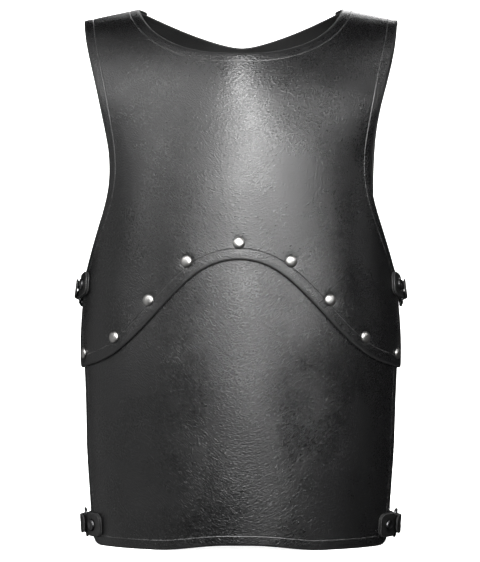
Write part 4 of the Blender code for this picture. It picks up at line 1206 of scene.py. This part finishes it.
def ramp(tree, value, low, high, to_low, to_high):
    inputs = {0: value, 1: low, 2: high, 3: to_low, 4: to_high}
    return node(tree, "ShaderNodeMapRange", inputs, interpolation_type="SMOOTHSTEP").outputs[0]


def math_node(tree, operation, first, second, third=0.0):
    return node(tree, "ShaderNodeMath", {0: first, 1: second, 2: third}, operation=operation).outputs[0]


def noise(tree, where, scale, detail, rough=0.5, twist=0.0):
    inputs = {"Vector": where, "Scale": scale, "Detail": detail, "Roughness": rough, "Distortion": twist}
    return node(tree, "ShaderNodeTexNoise", inputs).outputs["Fac"]


def mixed(tree, share, first, second):
    """Colour between two, the first of them three numbers or a colour of the tree."""
    first = first if isinstance(first, bpy.types.NodeSocket) else (*first, 1.0)
    return node(tree, "ShaderNodeMix", {0: share, 6: first, 7: (*second, 1.0)}, data_type="RGBA").outputs[2]


def dress(tree, shader, colour, roughness, bump):
    tree.links.new(colour, shader.inputs["Base Color"])
    tree.links.new(roughness, shader.inputs["Roughness"])
    tree.links.new(bump.outputs[0], shader.inputs["Normal"])


def grain_place(tree, where):
    """Object place with its height drawn along slanting lines that fan out from the centre line."""
    parts = node(tree, "ShaderNodeSeparateXYZ", {0: where}).outputs
    square = math_node(tree, "MULTIPLY_ADD", parts[0], parts[0], GRAIN_TURN_WIDE**2)
    fan = math_node(tree, "MULTIPLY", math_node(tree, "SQRT", square, 0.0), GRAIN_SLOPE)
    height = math_node(tree, "SUBTRACT", parts[2], fan)
    across = math_node(tree, "MULTIPLY", parts[0], GRAIN_STRETCH)
    return node(tree, "ShaderNodeCombineXYZ", {0: across, 1: parts[1], 2: height}).outputs[0]


def leather(name, dark, light, rough, rough_spread, grain, pebble):
    """Waxed black leather: fine slanting pebbles, small pores, patchy sheen, dull cut edges, pale dotted
    stitching in the groove that is partly a painted highlight for its glints.
    """
    made, tree, shader, where = new_material(name)
    slant = grain_place(tree, where)
    patches = noise(tree, where, 14.0, 3.0, 0.55)
    cell_inputs = {"Vector": slant, "Scale": pebble * 0.9, "Smoothness": 0.5}
    cells = node(tree, "ShaderNodeTexVoronoi", cell_inputs, feature="SMOOTH_F1").outputs["Distance"]
    lumps = noise(tree, slant, pebble, 1.5)
    fine = noise(tree, where, pebble * 3.0, 1.0)
    height = math_node(tree, "SUBTRACT", lumps, math_node(tree, "MULTIPLY", cells, 0.55))
    height = math_node(tree, "MULTIPLY", height, ramp(tree, patches, 0.35, 0.65, 0.8, 1.15))
    edge = node(tree, "ShaderNodeAttribute", attribute_name="cut_edge").outputs["Fac"]
    groove = node(tree, "ShaderNodeAttribute", attribute_name="groove").outputs["Fac"]
    # pale dotted stitching colour mixed in along the groove: partly a painted highlight for the groove's
    # glints
    dashes = ramp(tree, noise(tree, where, 330.0, 1.0), 0.42, 0.56, 0.10, 1.0)
    thread_and_glint = math_node(tree, "MULTIPLY", groove, dashes)
    height = math_node(tree, "MULTIPLY", height, ramp(tree, edge, 0.0, 1.0, 1.0, 0.35))
    big = node(tree, "ShaderNodeBump", {"Strength": grain, "Distance": 0.0010, "Height": height})
    small_inputs = {"Strength": grain * 0.3, "Distance": 0.0003, "Height": fine, "Normal": big.outputs[0]}
    small = node(tree, "ShaderNodeBump", small_inputs)
    colour = mixed(tree, patches, dark, light)
    colour = mixed(tree, math_node(tree, "MULTIPLY", edge, 0.5), colour, [v * EDGE_PALER for v in light])
    colour = mixed(tree, thread_and_glint, colour, THREAD_AND_GLINT_COLOUR)
    sheen = ramp(tree, patches, 0.3, 0.7, rough - rough_spread, rough + rough_spread)
    sheen = math_node(tree, "MULTIPLY_ADD", groove, GROOVE_DULLER, sheen)
    sheen = math_node(tree, "MULTIPLY_ADD", edge, EDGE_DULLER, sheen)
    sheen = math_node(tree, "ADD", sheen, ramp(tree, lumps, 0.32, 0.68, PORE_DULLER, -PORE_DULLER))
    shader.inputs["IOR"].default_value = 1.5
    dress(tree, shader, colour, sheen, small)
    return made


def inner_leather(name, dark, light):
    """The plates' inner face: dyed, unglazed and slightly fibrous."""
    made, tree, shader, where = new_material(name)
    patches = noise(tree, where, 22.0, 4.0, 0.6)
    fibres = noise(tree, where, 900.0, 4.0, 0.7, 0.8)
    bump = node(tree, "ShaderNodeBump", {"Strength": 0.5, "Distance": 0.0006, "Height": fibres})
    dress(tree, shader, mixed(tree, patches, dark, light), ramp(tree, patches, 0.3, 0.7, 0.55, 0.72), bump)
    return made


def metal(name, colour, rough, rough_spread, scratch):
    """Plated metal with fine scratches and slightly cloudy patches."""
    made, tree, shader, where = new_material(name)
    cloud = noise(tree, where, 420.0, 3.0)
    stretch = {"Vector": where, "Rotation": (0.3, 0.5, 0.2), "Scale": (1.0, 1.0, 0.08)}
    lines = noise(tree, node(tree, "ShaderNodeMapping", stretch).outputs[0], 6000.0, 2.0)
    bump = node(tree, "ShaderNodeBump", {"Strength": scratch, "Distance": 0.00006, "Height": lines})
    tint = mixed(tree, cloud, [v * 0.86 for v in colour], colour)
    shader.inputs["Metallic"].default_value = 1.0
    dress(tree, shader, tint, ramp(tree, cloud, 0.35, 0.65, rough - rough_spread, rough + rough_spread), bump)
    return made


PLATE_LEATHER = leather("plate_leather", *PLATE_BLACK, 0.29, 0.03, 0.34, 800.0)
STRAP_LEATHER = leather("strap_leather", *STRAP_BLACK, 0.36, 0.05, 0.30, 900.0)
INNER_LEATHER = inner_leather("inner_leather", *INNER_BLACK)
NICKEL = metal("nickel", (0.36, 0.355, 0.345), 0.36, 0.05, 0.35)
DARK_NICKEL = metal("dark_nickel", (0.09, 0.09, 0.092), 0.32, 0.06, 0.4)


def same_inset(loop):
    return np.full(len(loop), GROOVE_INSET)


def breast_inset(loop):
    """The groove lies a little further in along the arched lower edge."""
    height = form_point(*loop.T)[:, 2]
    arch_end = front_side(ARCH_TOP - ARCH_DROP)[0] - 0.003
    along_arch = (loop[:, 1] < RIDGE / 2) & (height < ARCH_TOP + 0.004) & (np.abs(loop[:, 0]) < arch_end)
    return np.where(along_arch, ARCH_GROOVE_INSET, GROOVE_INSET)


def on_both_sides(spots):
    return [(sign * a, b) for a, b in spots for sign in (1, -1)]


strap_half = SHOULDER_TIP - NECK_HALF_WIDTH
shoulder_spots = [(NECK_HALF_WIDTH + share * strap_half, RIDGE + SEAM_BEHIND) for share in SHOULDER_RIVETS]
seam_spots = on_both_sides(shoulder_spots)
arch_spots = [tuple(spot) for spot in ARCH_RIVETS]
breast_spots = arch_spots + on_both_sides([tab_rivet_spot("upper")]) + seam_spots
belly_spots = arch_spots + on_both_sides([tab_rivet_spot("lower")])
back_spots = on_both_sides([billet_rivet_spot("upper"), billet_rivet_spot("lower")]) + seam_spots
UNDER = (-LAP_GAP - PLATE, -LAP_GAP)
FACES = [PLATE_LEATHER, INNER_LEATHER]
SEATED = PLATE - SEAT_DEEP * 0.8
CAP_LIFT = 0.0001
ARCH_CAP = spherical(RIVET_RADIUS * CAP_SPREAD, RIVET_DOME, 0.0006)
FLAT_CAP = spherical(FLAT_RIVET_RADIUS, FLAT_RIVET_DOME, 0.0004)
TAB_CAP = dished(TAB_RIVET_RADIUS, TAB_RIVET_RISE, TAB_RIVET_DISH)

breast = (breast_outline(), breast_inset, breast_spots)
make_plate("breast_plate", *breast, 0.0, PLATE, BAND_RISE, FACES, "breast_leather")
make_plate("belly_plate", belly_outline(), same_inset, belly_spots, *UNDER, 0.0, FACES, "belly_leather")
make_plate("back_plate", back_outline(), same_inset, back_spots, *UNDER, 0.0, FACES, "back_leather")

for number, spot in enumerate(ARCH_RIVETS, 1):
    lean = (0.05 * math.sin(number * 2.3), 0.05 * math.sin(number * 4.1 + 1))
    rivet(f"arch_rivet_{number}", spot, SEATED, UNDER[0], ARCH_CAP, NICKEL, "rivet_metal", lean)
for side, sign in SIDES:
    for number, (a, b) in enumerate(shoulder_spots, 1):
        name = f"shoulder_rivet_{side}_{number}"
        rivet(name, (sign * a, b), SEATED, UNDER[0], FLAT_CAP, NICKEL, "rivet_metal")

for level in FASTENINGS:
    right = {
        "chape": (make_chape(level, STRAP_LEATHER), "strap_leather"),
        "buckle": (make_buckle(level, DARK_NICKEL), "dark_metal"),
        "prong": (make_prong(level, DARK_NICKEL), "dark_metal"),
        "billet": (make_billet(level, STRAP_LEATHER), "strap_leather"),
    }
    for kind, (item, slot) in right.items():
        copy = mirrored(item, item.name.replace("right", "left"))
        finished(item, slot, f"{level}_right_{kind}")
        finished(copy, slot, f"{level}_left_{kind}")
    for side, sign in SIDES:
        a, b = tab_rivet_spot(level)
        faces = (chape_levels(level)[3] + CAP_LIFT, FRONT_INNER[level])
        rivet(f"{level}_{side}_tab_rivet", (sign * a, b), *faces, TAB_CAP, DARK_NICKEL, "dark_metal")
        a, b = billet_rivet_spot(level)
        faces = (-LAP_GAP + STRAP_LIFT + STRAP + CAP_LIFT, UNDER[0])
        rivet(f"{level}_{side}_billet_rivet", (sign * a, b), *faces, FLAT_CAP, DARK_NICKEL, "dark_metal")


def make_stage():
    """Pale round floor that curves up into a wall."""
    made, tree, shader, where = new_material("pale_floor")
    colour = mixed(tree, noise(tree, where, 3.0, 2.0), (0.86, 0.86, 0.86), (0.90, 0.90, 0.90))
    tree.links.new(colour, shader.inputs["Base Color"])
    shader.inputs["Roughness"].default_value = 0.9
    shader.inputs["Emission Color"].default_value = (1.0, 1.0, 1.0, 1.0)
    shader.inputs["Emission Strength"].default_value = FLOOR_GLOW
    line = [(0.0, 0.0), (FLOOR_FLAT, 0.0)]
    line += circle_part((FLOOR_FLAT, FLOOR_BEND), FLOOR_BEND, -85, 0, 16)
    line.append((FLOOR_FLAT + FLOOR_BEND, WALL_HEIGHT))
    floor = turned("floor", line, 64, made)
    floor.data.flip_normals()
    floor.visible_glossy = False


def soft_light(name, shape, turn, rise, away, size, glow, roll):
    """Soft light at a turn and a rise round the armour's middle, in degrees; its glow is its radiance."""
    data = bpy.data.lights.new(name, "AREA")
    data.shape = shape
    data.size, data.size_y = size
    area = size[0] * size[1] * (math.pi / 4 if shape == "ELLIPSE" else 1.0)
    data.energy = glow * math.pi * area
    turn, rise = math.radians(turn), math.radians(rise)
    target = Vector(LIGHT_TARGET)
    level = math.cos(rise)
    place = target + away * Vector((math.sin(turn) * level, -math.cos(turn) * level, math.sin(rise)))
    item = bpy.data.objects.new(name, data)
    bpy.context.scene.collection.objects.link(item)
    spin = Matrix.Rotation(math.radians(roll), 3, "Z").to_quaternion()
    item.rotation_euler = ((target - place).to_track_quat("-Z", "Y") @ spin).to_euler()
    item.location = place
    item.visible_camera = False


def make_camera():
    """Long lens level with the armour's middle, turned a little to one side."""
    data = bpy.data.cameras.new("camera")
    data.sensor_width = SENSOR
    data.lens = FOCAL_PX * SENSOR / IMAGE_HEIGHT
    data.clip_start, data.clip_end = 0.05, 50.0
    item = bpy.data.objects.new("camera", data)
    bpy.context.scene.collection.objects.link(item)
    turn = math.radians(CAMERA_TURN)
    aside = Vector((math.cos(turn), math.sin(turn), 0.0)) * -CAMERA_ASIDE
    place = Vector((CAMERA_AWAY * math.sin(turn), -CAMERA_AWAY * math.cos(turn), CAMERA_HEIGHT))
    item.location = place + Vector(FORM_SHIFT) + aside
    item.rotation_euler = (math.pi / 2, 0.0, turn)
    bpy.context.scene.camera = item


make_stage()
make_camera()
for light in LIGHTS:
    soft_light(*light)
world = bpy.data.worlds.new("studio")
world.use_nodes = True
world.node_tree.nodes["Background"].inputs["Color"].default_value = (1.0, 1.0, 1.0, 1.0)
world.node_tree.nodes["Background"].inputs["Strength"].default_value = WORLD_GLOW
bpy.context.scene.world = world
bpy.context.scene.view_settings.view_transform = "Standard"
